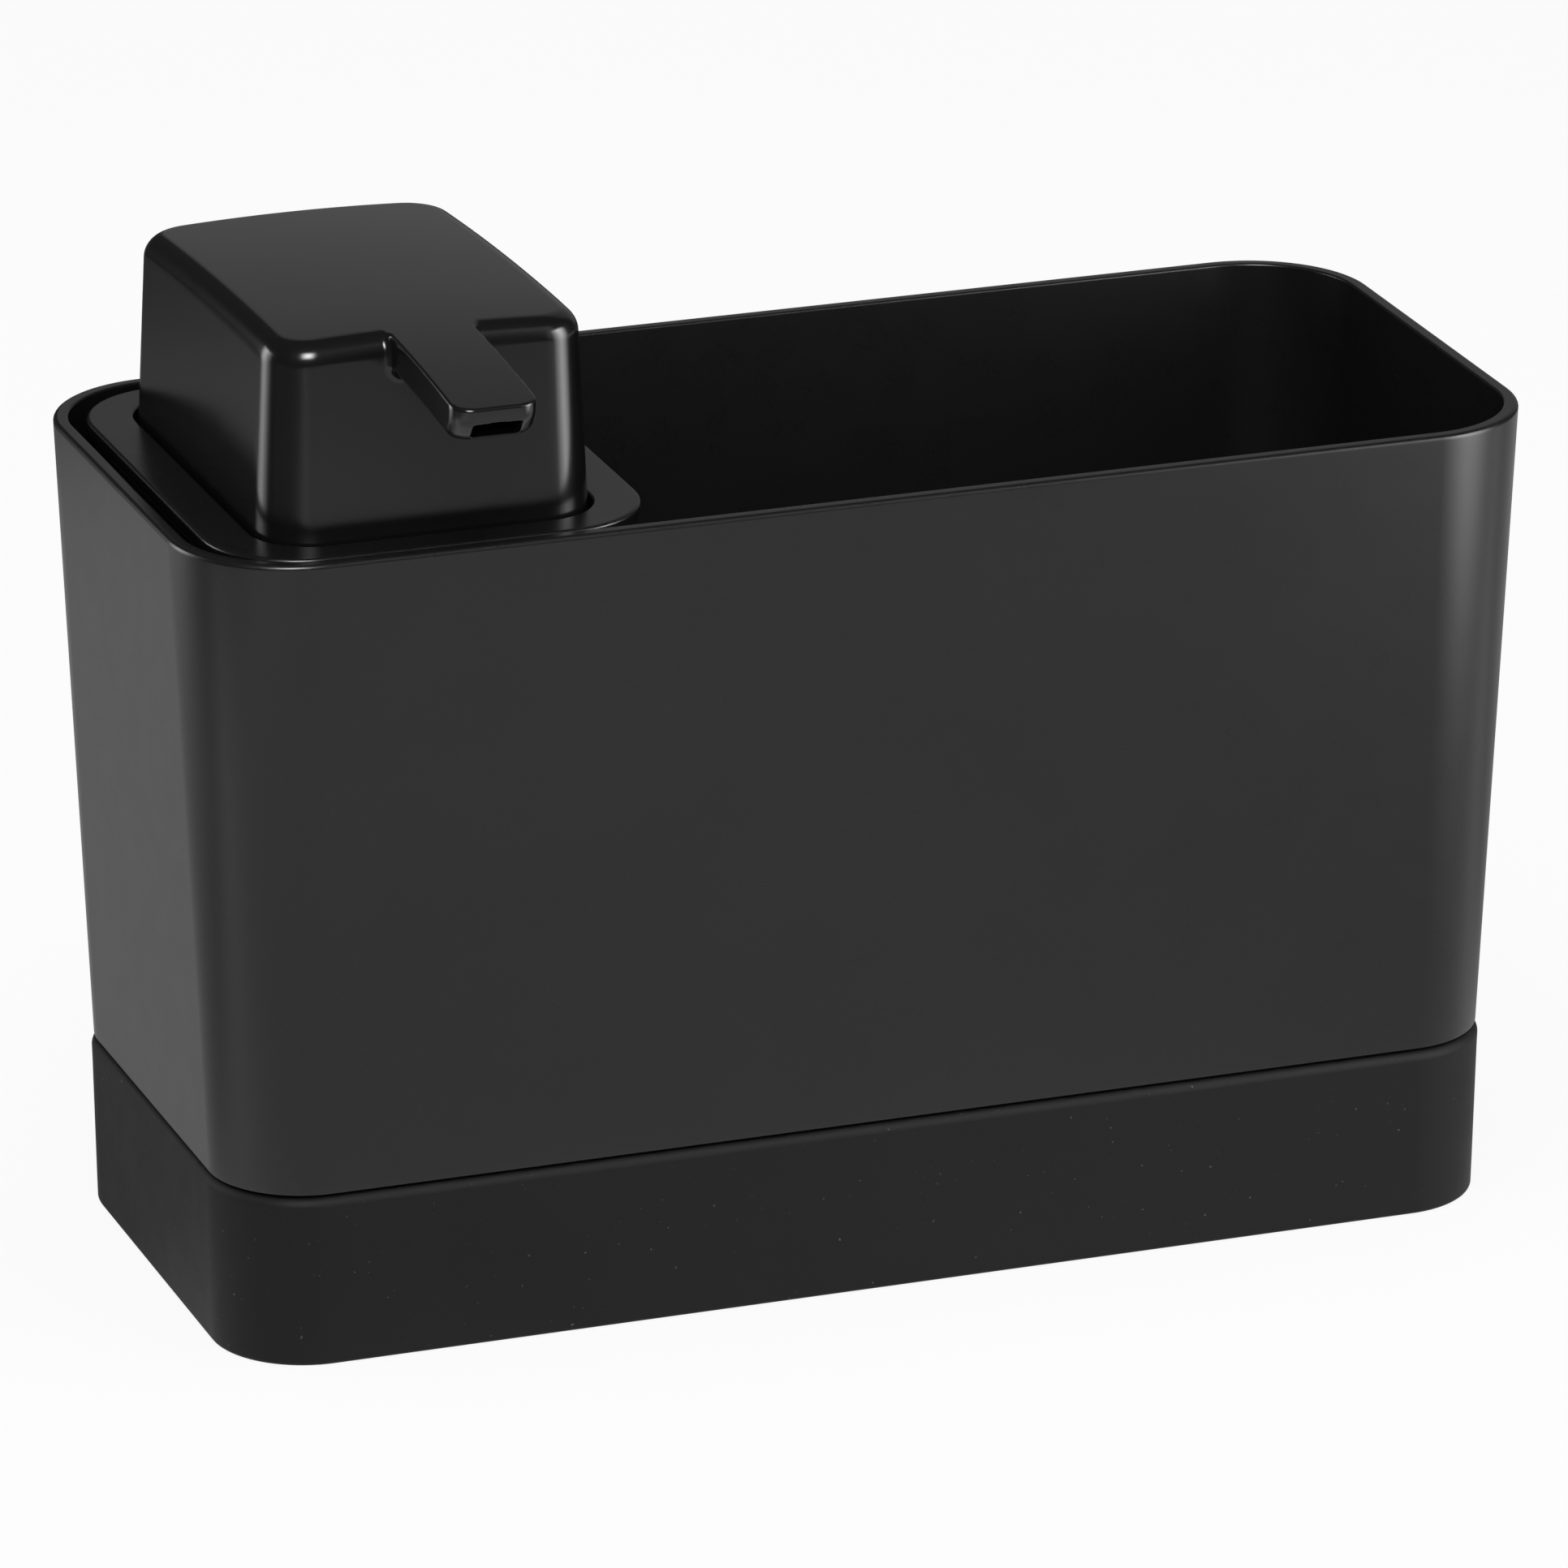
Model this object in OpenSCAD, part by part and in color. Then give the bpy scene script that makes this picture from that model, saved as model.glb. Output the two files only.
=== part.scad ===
// Sink organizer: a tapered caddy in a silicone tray, with a lift-out soap dispenser at one end.
// Z is up and the origin is on the ground under the middle of the tray.
// The dispenser is towards -X and its spout points to -Y.

/* [Caddy] */
// Length over the rim
caddy_len = 220; // [190:1:250]
// Depth over the rim, front to back
caddy_depth = 96.4; // [90:0.2:110]
// Height of the rim above the ground
rim_height = 131.5; // [125:0.5:150]
// Plan corner radius at the rim
rim_corner_r = 19.6; // [17:0.2:24]
// Plan corner radius at the shoulder, just above the tray
shoulder_corner_r = 15.2; // [13.4:0.2:17]
// How far each end wall leans in between rim and shoulder
end_draft = 4.7; // [3.6:0.1:5.6]
// How far the front and back walls lean in between rim and shoulder
side_draft = 3.7; // [3:0.1:4.6]
// Wall and floor thickness
caddy_wall = 2.4; // [2:0.1:3]
// Rounding of the rim's outer edge
rim_edge_r = 0.8; // [0.4:0.1:1.2]
// Rounding of the rim's inner edge
rim_inner_edge = 0.4; // [0.2:0.1:0.8]
// Fillet between floor and walls inside
caddy_floor_fillet = 3; // [1.5:0.5:5]
// Length of one drain slot
drain_slot_len = 18; // [10:1:26]
// Width of one drain slot
drain_slot_w = 4; // [2.5:0.5:6]
// Distance from one drain slot to the next
drain_pitch = 14; // [9:0.5:20]
// Drain slots in a row along the open compartment
drain_count = 8; // [2:1:8]

/* [Silicone tray] */
// Height of the tray's lip above the ground
tray_height = 27.8; // [22:0.2:34]
// Wall thickness of the tray
tray_wall = 2; // [1.6:0.1:2.6]
// Floor thickness of the tray
tray_floor = 2; // [1.5:0.1:3]
// How far the lip stands proud of the caddy's wall
tray_proud = 0.4; // [0.1:0.1:1]
// How far the tray's walls lean in towards the ground
tray_draft = 0.5; // [0.1:0.1:1.2]
// Rounding of the lip's outer edge
tray_lip_r = 1.5; // [0.8:0.1:1.9]
// Rounding of the lower outer edge
tray_foot_r = 0.8; // [0.3:0.1:1.5]
// Height of the ribs that carry the caddy
tray_rib_h = 1.5; // [1:0.1:3]
// Width of these ribs
tray_rib_w = 3; // [2:0.5:6]
// Distance from one rib to the next
tray_rib_pitch = 30; // [20:1:40]
// Clearance between tray and caddy
tray_fit = 0.3; // [0.3:0.05:0.6]
// Open groove between the lip and the caddy's shoulder
shoulder_gap = 0.4; // [0.3:0.1:1.5]

/* [Collar plate] */
// Length of the plate along the caddy
plate_len = 69.4; // [66:0.2:80]
// Thickness of the plate
plate_thick = 2.2; // [1.8:0.1:3]
// How far the plate lies below the rim
plate_drop = 0.4; // [0.2:0.1:3]
// Gap between the plate and the end wall
plate_end_gap = 2.9; // [1.5:0.1:5]
// Gap between the plate and the front and back walls
plate_side_gap = 1.5; // [1:0.1:3]
// Plan corner radius of the plate
plate_corner_r = 15.5; // [13.5:0.1:18]
// Rounding of the plate's upper edge
plate_edge_r = 0.6; // [0.3:0.1:1]
// Flat border of the plate at the head's two ends
plate_end_border = 8.1; // [7:0.1:12]
// Flat border of the plate before and behind the head
plate_side_border = 6.4; // [6.1:0.1:10]
// Wall of the well under the plate
well_wall = 1.6; // [1.2:0.1:1.8]
// Floor of the well
well_floor = 2; // [1.6:0.1:3]
// Depth of the ring that centres the plate in the bottle
plug_depth = 5; // [3:0.5:8]
// Wall of that ring
plug_wall = 1.4; // [1:0.1:1.8]
// Thickness of the soft seal under the plate
seal_thick = 1.2; // [0.8:0.1:2]
// Width of the seal
seal_w = 1.6; // [1.2:0.1:1.8]

/* [Bottle] */
// Wall and floor thickness of the bottle
bottle_wall = 1.8; // [1.4:0.1:2]
// Overhang of the plate over the bottle
plate_overhang = 1; // [0.5:0.1:1.4]
// Clearance between the foot of the bottle and the caddy's walls
bottle_fit = 1.1; // [0.9:0.1:2]
// Rounding of the bottle's lower edge
bottle_foot_r = 2.5; // [1.5:0.1:3]
// Clearance between the centring ring and the bottle's mouth
plug_fit = 0.4; // [0.3:0.05:0.6]

/* [Press head] */
// Height of the head above the plate
head_height = 31.7; // [29:0.1:36]
// Plan corner radius at the foot
head_corner_r = 9; // [7:0.1:11]
// How far the head's walls lean in towards its top
head_draft = 1.5; // [0.8:0.1:1.8]
// Rounding of the head's upper edge
head_edge_r = 3.7; // [2.5:0.1:4.2]
// Radius of the crowned top before its highest point, seen from the side
crown_r = 350; // [300:10:600]
// Radius of the crowned top behind its highest point
crown_rear_r = 740; // [400:10:1200]
// Place of the highest point of the crown, front to back
crown_y = -20; // [-30:1:0]
// Shell thickness
head_wall = 1.8; // [1.4:0.1:2.2]
// Length of the skirt that stands in the well
skirt_depth = 3; // [2:0.5:5]
// Gap between the head and the well
well_gap = 0.7; // [0.6:0.1:1.2]
// Travel of the head
stroke = 12; // [8:0.5:14]
// Room left under the skirt at full travel
press_clear = 1; // [0.8:0.1:2]

/* [Spout] */
// How far the spout stands out in front of the head's foot
spout_reach = 29; // [22:0.2:36]
// Width of the spout
spout_w = 13.5; // [12.6:0.1:18]
// Thickness of the spout
spout_thick = 6.3; // [5.8:0.1:7]
// Fillets between spout and head, at its sides and below it
spout_fillet_r = 3.8; // [1.5:0.1:4.2]
// Corner radius of the spout's tip, seen from above
spout_tip_r = 3.4; // [1:0.1:3.8]
// Rounding of the tip's upper edge
spout_nose_r = 0.7; // [0.5:0.1:1.4]
// Height of the tip's face above its slanted part
spout_nose_h = 2.4; // [1.8:0.1:3]
// How far the slanted part runs back to the underside
spout_undercut = 2.6; // [1:0.1:3.5]
// Width of the outlet
outlet_w = 7.7; // [5:0.1:8]
// Height of the outlet
outlet_h = 2.7; // [2:0.1:2.8]
// Wall under the outlet
outlet_floor = 1; // [0.9:0.1:1.2]
// Side wall of the duct
duct_wall = 0.8; // [0.6:0.1:1]
// Roof and floor of the duct
duct_skin = 0.45; // [0.35:0.05:0.6]

/* [Pump] */
// Bore of the pump cylinder
cylinder_bore = 13; // [12:0.2:16]
// Wall of the pump cylinder
cylinder_wall = 1.5; // [1.2:0.1:2]
// Diameter of the stem
stem_d = 8; // [7:0.1:8.4]
// Bore of the stem
stem_bore = 4; // [3:0.1:4.6]
// Radial running clearance of stem, piston and guide posts
running_fit = 0.05; // [0.02:0.01:0.1]
// Length of the piston
piston_len = 9; // [7:0.5:12]
// Wall of the plate's neck
neck_wall = 3.4; // [2.6:0.1:4]
// Height of the neck above the floor of the well
neck_h = 8; // [7:0.5:10]
// Thickness of the cylinder's flange
flange_thick = 1.6; // [1.2:0.1:2.4]
// Thickness of the neck's gasket
gasket_thick = 1; // [0.8:0.1:1.6]
// Wall of the screw closure
closure_wall = 1.8; // [1.4:0.1:2.4]
// Diameter of the steel inlet ball
inlet_ball_d = 6.4; // [5.6:0.1:7]
// Diameter of the steel outlet ball
outlet_ball_d = 4.6; // [4.2:0.1:5]
// Lift of both check balls
ball_lift = 1.5; // [1:0.1:1.8]
// Wire of the return spring
spring_wire = 1; // [0.7:0.05:1.1]
// Turns of the return spring
spring_turns = 7; // [5:1:8]
// Outer diameter of the dip tube
dip_tube_d = 6; // [5:0.1:6.4]
// Wall of the dip tube
dip_tube_wall = 0.8; // [0.6:0.1:1.2]
// Room between the dip tube and the bottle's floor
dip_tube_gap = 2; // [1:0.5:5]
// Diameter of the two posts that guide the head
guide_post_d = 5; // [4:0.1:6]
// How far the guide posts stand outwards from the middle between closure and head wall
guide_post_offset = 0.8; // [0:0.1:1.5]

/* [Hidden] */

// Steps of arcs
corner_steps = 10;
edge_steps = 4;
side_steps = 8;
crown_steps = 12;
round_fn = 64;

// One overrun for all cuts, and the small clearances that pieces of one body keep
overrun = 1;
seat_fit = 0.1;
loose_fit = 0.3;
least_corner_r = 0.25;

// Heights of tray and caddy
caddy_foot_z = tray_floor + tray_rib_h;
caddy_floor_z = caddy_foot_z + caddy_wall;
shoulder_z = tray_height + shoulder_gap;
ledge_z = shoulder_z + caddy_wall;

// Half sizes of the caddy's outside at the rim and at the shoulder
rim_x = caddy_len / 2;
rim_y = caddy_depth / 2;
shoulder_x = rim_x - end_draft;
shoulder_y = rim_y - side_draft;

// The lower part of the caddy steps in to make room for the tray
tray_step = tray_wall + tray_fit - tray_proud;
lower_x = shoulder_x - tray_step;
lower_y = shoulder_y - tray_step;
lower_r = shoulder_corner_r - tray_step;

// Share of the draft at a height between shoulder and rim
function draft_share(z) = (z - shoulder_z) / (rim_height - shoulder_z);
function wall_x(z) = shoulder_x + end_draft * draft_share(z);
function wall_y(z) = shoulder_y + side_draft * draft_share(z);
function wall_r(z) = shoulder_corner_r + (rim_corner_r - shoulder_corner_r) * draft_share(z);

// Dispenser: plate, well and bottle
plate_x = plate_len / 2;
plate_y = rim_y - caddy_wall - plate_side_gap;
dispenser_x = plate_end_gap + caddy_wall + plate_x - rim_x;
plate_z = rim_height - plate_drop;
plate_under_z = plate_z - plate_thick;
bottle_top_z = plate_under_z - seal_thick;
bottle_floor_z = caddy_floor_z + bottle_wall;
bottle_x = plate_x - plate_overhang;
bottle_y = plate_y - plate_overhang;
bottle_r = plate_corner_r - plate_overhang;
bottle_foot_x = dispenser_x + lower_x - tray_draft - caddy_wall - bottle_fit;
bottle_foot_y = lower_y - tray_draft - caddy_wall - bottle_fit;
bottle_foot_corner_r = bottle_r - (bottle_y - bottle_foot_y);
plug_x = bottle_x - bottle_wall - plug_fit;
plug_y = bottle_y - bottle_wall - plug_fit;
plug_r = bottle_r - bottle_wall - plug_fit;

// Head and well
head_x = plate_x - plate_end_border;
head_y = plate_y - plate_side_border;
head_top_z = plate_z + head_height;
skirt_z = plate_z - skirt_depth;
well_x = head_x + well_gap;
well_y = head_y + well_gap;
well_r = head_corner_r + well_gap;
well_z = skirt_z - stroke - press_clear;

// Share of the head's draft at a height between skirt and top
function head_inset(z) = head_draft * (z - skirt_z) / (head_top_z - skirt_z);
// Drop of the crowned top at a place front to back
function crown_drop(y) = let (r = y < crown_y ? crown_r : crown_rear_r) r - sqrt(r * r - pow(y - crown_y, 2));

// Pump, from the neck down
cylinder_d = cylinder_bore + 2 * cylinder_wall;
neck_bore = cylinder_d + 2 * loose_fit;
neck_d = neck_bore + 2 * neck_wall;
neck_z = well_z + neck_h;
flange_z = neck_z + gasket_thick;
flange_top_z = flange_z + flange_thick;
closure_top_z = flange_top_z + closure_wall;
closure_d = neck_d + 2 * (loose_fit + closure_wall);
guide_lip = 1.5;
guide_top_z = closure_top_z + seat_fit + guide_lip;
guide_foot_z = flange_z - cylinder_wall - 4 * guide_lip;
stem_shoulder_h = 1.6;
stem_shoulder_d = 10.4;
shoulder_top_z = guide_foot_z - seat_fit;
piston_top_z = shoulder_top_z - stem_shoulder_h;
piston_foot_z = piston_top_z - piston_len;
stem_spigot_d = 6.4;
foot_flange_h = 1.6;
foot_flange_d = 11;
spring_top_z = piston_foot_z - seat_fit - foot_flange_h - seat_fit;
spring_solid_len = (spring_turns + 1) * spring_wire;
spring_len = stroke + spring_solid_len + 2 * press_clear;
spring_foot_z = spring_top_z - spring_len;
spring_r = cylinder_bore / 2 - loose_fit - spring_wire;

// Valves
cage_h = 3;
cage_foot_z = spring_foot_z - seat_fit - cage_h;
chamber_d = inlet_ball_d + 4 * loose_fit;
ball_rest_gap = 0.05;
inlet_seat_bore = 4.2;
inlet_stop_z = cage_foot_z - cage_h / 2;
inlet_ball_z = inlet_stop_z - ball_lift - seat_fit - inlet_ball_d / 2;
inlet_seat_z = inlet_ball_z - ball_rest_gap - inlet_ball_d / 2 * sqrt(2) + inlet_seat_bore / 2;
seat_wall = 1.6;
tube_socket_depth = 8;
tube_top_z = inlet_seat_z - seat_wall;
tube_socket_z = tube_top_z - tube_socket_depth;
tube_socket_bore = dip_tube_d + 2 * running_fit;
tube_foot_z = bottle_floor_z + dip_tube_gap;

// Duct and spout lie under the crown: depths below its surface
duct_bore_floor_depth = spout_thick - outlet_floor;
duct_bore_roof_depth = duct_bore_floor_depth - outlet_h;
duct_floor_depth = duct_bore_floor_depth + duct_skin;
duct_roof_depth = duct_bore_roof_depth - duct_skin;
duct_w = outlet_w + 2 * duct_wall;
duct_back_y = outlet_w / 2 + 2 * duct_wall;
spout_nose_y = -head_y - spout_reach;
tip_wall = 1.2;

// Head insert, from the lowest point of the duct down
insert_top_z = head_top_z - crown_drop(duct_back_y) - duct_floor_depth - seat_fit;
outlet_ball_z = insert_top_z - ball_lift - seat_fit - outlet_ball_d / 2;
outlet_seat_bore = 3;
outlet_seat_z = outlet_ball_z - ball_rest_gap - outlet_ball_d / 2 * sqrt(2) + outlet_seat_bore / 2;
stem_top_z = outlet_seat_z - seat_wall;
socket_z = guide_top_z + stroke + press_clear;
socket_d = stem_d + 2 * (running_fit + seat_wall);
insert_plate_h = 1.6;
insert_plate_z = outlet_seat_z - seat_wall - insert_plate_h;
sleeve_z = well_z + stroke + press_clear;
sleeve_d = guide_post_d + 2 * (running_fit + seat_wall);
post_top_z = insert_plate_z - stroke - press_clear;
post_y = (closure_d / 2 + head_y - head_wall - head_draft) / 2 + guide_post_offset;

// Rounded rectangle as points: the right half from front to back, then the left half mirrored
function arc_points(cx, cy, r, start) =
    [for (i = [0:corner_steps]) let (a = start + 90 * i / corner_steps) [cx + r * cos(a), cy + r * sin(a)]];
function side_points(x, y, steps) =
    [for (i = [1:1:steps - 1]) [x, y * (2 * i / steps - 1)]];
function right_half(hx, hy, r, steps) =
    concat(arc_points(hx - r, r - hy, r, -90), side_points(hx, hy - r, steps), arc_points(hx - r, hy - r, r, 0));
function both_halves(right) =
    concat(right, [for (i = [len(right) - 1:-1:0]) [-right[i][0], right[i][1]]]);
function outline(hx, hy, r, steps = 1) = both_halves(right_half(hx, hy, r, steps));
function ring(hx, hy, r, z) = [for (p = outline(hx, hy, r)) [p[0], p[1], z]];

// Ring whose height follows the crown
function crowned_ring(hx, hy, r, z) =
    [for (p = outline(hx, hy, r, side_steps)) [p[0], p[1], z - crown_drop(p[1])]];
function level_ring(hx, hy, r, z) = [for (p = outline(hx, hy, r, side_steps)) [p[0], p[1], z]];

// Closed skin through rings with equal numbers of points, from the lowest to the highest.
// A crowned top is closed in strips, because its points don't lie in one plane.
module loft(rings, crowned = false) {
    n = len(rings[0]);
    top = (len(rings) - 1) * n;
    sides = [for (k = [0:len(rings) - 2], i = [0:n - 1], half = [0, 1])
        let (a = k * n + i, b = k * n + (i + 1) % n)
        half == 0 ? [a, a + n, b + n] : [a, b + n, b]];
    foot = [[for (i = [0:n - 1]) i]];
    flat_top = [[for (i = [n - 1:-1:0]) top + i]];
    strips = [for (i = [0:n / 2 - 2]) [top + n - 1 - i, top + n - 2 - i, top + i + 1, top + i]];
    polyhedron(
        points = [for (r = rings, p = r) p],
        faces = concat(sides, foot, crowned ? strips : flat_top),
        convexity = 6
    );
}

// Straight block with the rounded outline
module block(hx, hy, r, z0, z1) {
    translate([0, 0, z0])
        linear_extrude(height = z1 - z0)
            polygon(outline(hx, hy, r));
}

module rod(d, z0, z1) {
    translate([0, 0, z0])
        cylinder(d = d, h = z1 - z0, $fn = round_fn);
}

module tube(d, bore, z0, z1) {
    difference() {
        rod(d, z0, z1);
        rod(bore, z0 - overrun, z1 + overrun);
    }
}

// Slot with round ends, along Y
module slot(w, len, z0, z1) {
    end_y = (len - w) / 2;
    translate([-w / 2, -end_y, z0])
        cube([w, 2 * end_y, z1 - z0]);
    for (side = [-1, 1])
        translate([0, side * end_y, 0])
            rod(w, z0, z1);
}

// Ball seat: a 45 degree cone that opens upwards from a bore
module seat_cut(bore, wide, z) {
    translate([0, 0, z])
        cylinder(d1 = bore, d2 = wide, h = (wide - bore) / 2, $fn = round_fn);
}

module silicone_base() {
    foot_x = shoulder_x + tray_proud - tray_draft;
    foot_y = shoulder_y + tray_proud - tray_draft;
    foot_r = shoulder_corner_r + tray_proud - tray_draft;
    foot_arc = [for (i = [0:edge_steps]) let (a = 90 * i / edge_steps)
        [tray_foot_r * (1 - sin(a)), tray_foot_r * (1 - cos(a))]];
    lip_arc = [for (i = [0:edge_steps]) let (a = 90 * i / edge_steps)
        [tray_lip_r * (1 - cos(a)), tray_lip_r * (1 - sin(a))]];
    color([0.06, 0.06, 0.065])
    difference() {
        loft(concat(
            [for (p = foot_arc) ring(foot_x - p[0], foot_y - p[0], foot_r - p[0], p[1])],
            [for (p = lip_arc) ring(foot_x + tray_draft - p[0], foot_y + tray_draft - p[0],
                foot_r + tray_draft - p[0], tray_height - p[1])]
        ));
        difference() {
            loft([
                ring(foot_x - tray_wall, foot_y - tray_wall, foot_r - tray_wall, tray_floor),
                ring(foot_x + tray_draft - tray_wall, foot_y + tray_draft - tray_wall,
                    foot_r + tray_draft - tray_wall, tray_height + overrun)
            ]);
            tray_ribs();
        }
    }
}

// Low ribs across the tray's floor keep the caddy above the drained water
module tray_ribs() {
    rib_reach = shoulder_y - shoulder_corner_r;
    rib_count = floor((shoulder_x - shoulder_corner_r) / tray_rib_pitch);
    for (i = [-rib_count:rib_count])
        translate([i * tray_rib_pitch, 0, 0])
            block(tray_rib_w / 2, rib_reach, tray_rib_w / 4, tray_floor - overrun, caddy_foot_z);
}

module caddy() {
    foot_e = tray_foot_r;
    rim_arc = [for (i = [0:edge_steps]) let (a = 90 * i / edge_steps)
        [rim_edge_r * (1 - cos(a)), rim_edge_r * (1 - sin(a))]];
    color([0.09, 0.09, 0.095])
    difference() {
        loft(concat(
            [
                ring(lower_x - tray_draft - foot_e, lower_y - tray_draft - foot_e,
                    lower_r - tray_draft - foot_e, caddy_foot_z),
                ring(lower_x - tray_draft, lower_y - tray_draft, lower_r - tray_draft,
                    caddy_foot_z + foot_e),
                ring(lower_x, lower_y, lower_r, shoulder_z),
                ring(shoulder_x, shoulder_y, shoulder_corner_r, shoulder_z)
            ],
            [for (p = rim_arc) ring(rim_x - p[0], rim_y - p[0], rim_corner_r - p[0], rim_height - p[1])]
        ));
        caddy_cavity();
        drain_slots();
    }
}

module caddy_cavity() {
    in_x = lower_x - caddy_wall;
    in_y = lower_y - caddy_wall;
    in_r = lower_r - caddy_wall;
    fillet_arc = [for (i = [0:edge_steps]) let (a = 90 * i / edge_steps)
        [caddy_floor_fillet * (1 - sin(a)), caddy_floor_fillet * (1 - cos(a))]];
    loft(concat(
        [for (p = fillet_arc) ring(in_x - tray_draft - p[0], in_y - tray_draft - p[0],
            in_r - tray_draft - p[0], caddy_floor_z + p[1])],
        [
            ring(in_x, in_y, in_r, ledge_z - caddy_wall / 2),
            ring(wall_x(ledge_z) - caddy_wall, wall_y(ledge_z) - caddy_wall,
                wall_r(ledge_z) - caddy_wall, ledge_z + caddy_wall / 2),
            ring(rim_x - caddy_wall, rim_y - caddy_wall, rim_corner_r - caddy_wall,
                rim_height - rim_inner_edge),
            ring(rim_x - caddy_wall + rim_inner_edge, rim_y - caddy_wall + rim_inner_edge,
                rim_corner_r - caddy_wall + rim_inner_edge, rim_height),
            ring(rim_x - caddy_wall + rim_inner_edge, rim_y - caddy_wall + rim_inner_edge,
                rim_corner_r - caddy_wall + rim_inner_edge, rim_height + overrun)
        ]
    ));
}

// Drain slots in the floor of the open compartment
module drain_slots() {
    bay_start = dispenser_x + plate_x;
    bay_middle = (bay_start + lower_x - tray_draft - caddy_wall) / 2;
    for (i = [0:drain_count - 1])
        translate([bay_middle + (i - (drain_count - 1) / 2) * drain_pitch, 0, 0])
            slot(drain_slot_w, drain_slot_len, caddy_foot_z - overrun, caddy_floor_z + overrun);
}

module bottle() {
    foot_arc = [for (i = [0:edge_steps]) let (a = 90 * i / edge_steps)
        [bottle_foot_r * (1 - sin(a)), bottle_foot_r * (1 - cos(a))]];
    color([0.12, 0.12, 0.125])
    translate([dispenser_x, 0, 0])
    difference() {
        loft(concat(
            [for (p = foot_arc) ring(bottle_foot_x - p[0], bottle_foot_y - p[0],
                bottle_foot_corner_r - p[0], caddy_floor_z + p[1])],
            [ring(bottle_x, bottle_y, bottle_r, bottle_top_z)]
        ));
        loft([
            ring(bottle_foot_x - bottle_foot_r, bottle_foot_y - bottle_foot_r,
                bottle_foot_corner_r - bottle_foot_r, bottle_floor_z),
            ring(bottle_foot_x - bottle_wall, bottle_foot_y - bottle_wall,
                bottle_foot_corner_r - bottle_wall, bottle_floor_z + bottle_foot_r - bottle_wall / 2),
            ring(bottle_x - bottle_wall, bottle_y - bottle_wall, bottle_r - bottle_wall,
                bottle_top_z + overrun)
        ]);
    }
}

// Plate with the well that takes the head, the neck that takes the pump and two guide posts
module collar_plate() {
    edge_arc = [for (i = [0:edge_steps]) let (a = 90 * i / edge_steps)
        [plate_edge_r * (1 - cos(a)), plate_edge_r * (1 - sin(a))]];
    color([0.1, 0.1, 0.105])
    translate([dispenser_x, 0, 0]) {
        difference() {
            union() {
                loft(concat(
                    [ring(plate_x, plate_y, plate_corner_r, plate_under_z)],
                    [for (p = edge_arc) ring(plate_x - p[0], plate_y - p[0], plate_corner_r - p[0],
                        plate_z - p[1])]
                ));
                block(well_x + well_wall, well_y + well_wall, well_r + well_wall,
                    well_z - well_floor, plate_under_z + plate_thick / 2);
                difference() {
                    block(plug_x, plug_y, plug_r, plate_under_z - plug_depth,
                        plate_under_z + plate_thick / 2);
                    block(plug_x - plug_wall, plug_y - plug_wall, plug_r - plug_wall,
                        plate_under_z - plug_depth - overrun, plate_under_z);
                }
            }
            block(well_x, well_y, well_r, well_z, plate_z + overrun);
            rod(neck_bore, well_z - well_floor - overrun, well_z + overrun);
        }
        tube(neck_d, neck_bore, well_z - well_floor / 2, neck_z);
        for (side = [-1, 1])
            translate([0, side * post_y, 0])
                rod(guide_post_d, well_z - well_floor / 2, post_top_z);
    }
}

// Flat ring between the rim of the bottle and the plate
module plate_seal() {
    seal_x = plug_x + plug_fit;
    seal_y = plug_y + plug_fit;
    seal_r = plug_r + plug_fit;
    color([0.5, 0.5, 0.52])
    translate([dispenser_x, 0, 0])
    difference() {
        block(seal_x + seal_w, seal_y + seal_w, seal_r + seal_w, bottle_top_z, plate_under_z);
        block(seal_x, seal_y, seal_r, bottle_top_z - overrun, plate_under_z + overrun);
    }
}

module neck_gasket() {
    color([0.75, 0.75, 0.72])
    translate([dispenser_x, 0, 0])
        tube(neck_d - neck_wall, neck_bore, neck_z, flange_z);
}

// Pump cylinder: flange, working bore, valve chamber with its seat and the socket of the dip tube
module pump_housing() {
    chamber_wall_d = chamber_d + 2 * cylinder_wall;
    socket_wall_d = tube_socket_bore + 2 * cylinder_wall;
    color([0.88, 0.88, 0.86])
    translate([dispenser_x, 0, 0])
    difference() {
        union() {
            rod(neck_d - neck_wall, flange_z, flange_top_z);
            rod(cylinder_d, cage_foot_z - cylinder_wall, flange_top_z - flange_thick / 2);
            rod(chamber_wall_d, inlet_seat_z - seat_wall, cage_foot_z);
            rod(socket_wall_d, tube_socket_z, inlet_seat_z);
        }
        rod(cylinder_bore, cage_foot_z, flange_top_z + overrun);
        rod(chamber_d, inlet_seat_z + (chamber_d - inlet_seat_bore) / 2, cage_foot_z + overrun);
        seat_cut(inlet_seat_bore, chamber_d, inlet_seat_z);
        rod(inlet_seat_bore, tube_top_z - overrun, inlet_seat_z + seat_fit);
        rod(tube_socket_bore, tube_socket_z - overrun, tube_top_z);
    }
}

// Screw ring with gripping flutes that clamps the flange and the gasket on the neck
module pump_closure() {
    flute_count = 24;
    flute_d = closure_wall / 2;
    hole_d = cylinder_bore + 2 * guide_lip;
    color([0.15, 0.15, 0.16])
    translate([dispenser_x, 0, 0])
    difference() {
        rod(closure_d, well_z + loose_fit, closure_top_z);
        rod(neck_d + 2 * loose_fit, well_z - overrun, flange_top_z);
        rod(hole_d, flange_top_z - overrun, closure_top_z + overrun);
        for (i = [0:flute_count - 1])
            rotate([0, 0, 360 * i / flute_count])
                translate([closure_d / 2 + flute_d / 5, 0, 0])
                    rod(flute_d, well_z, closure_top_z - closure_wall);
    }
}

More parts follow.
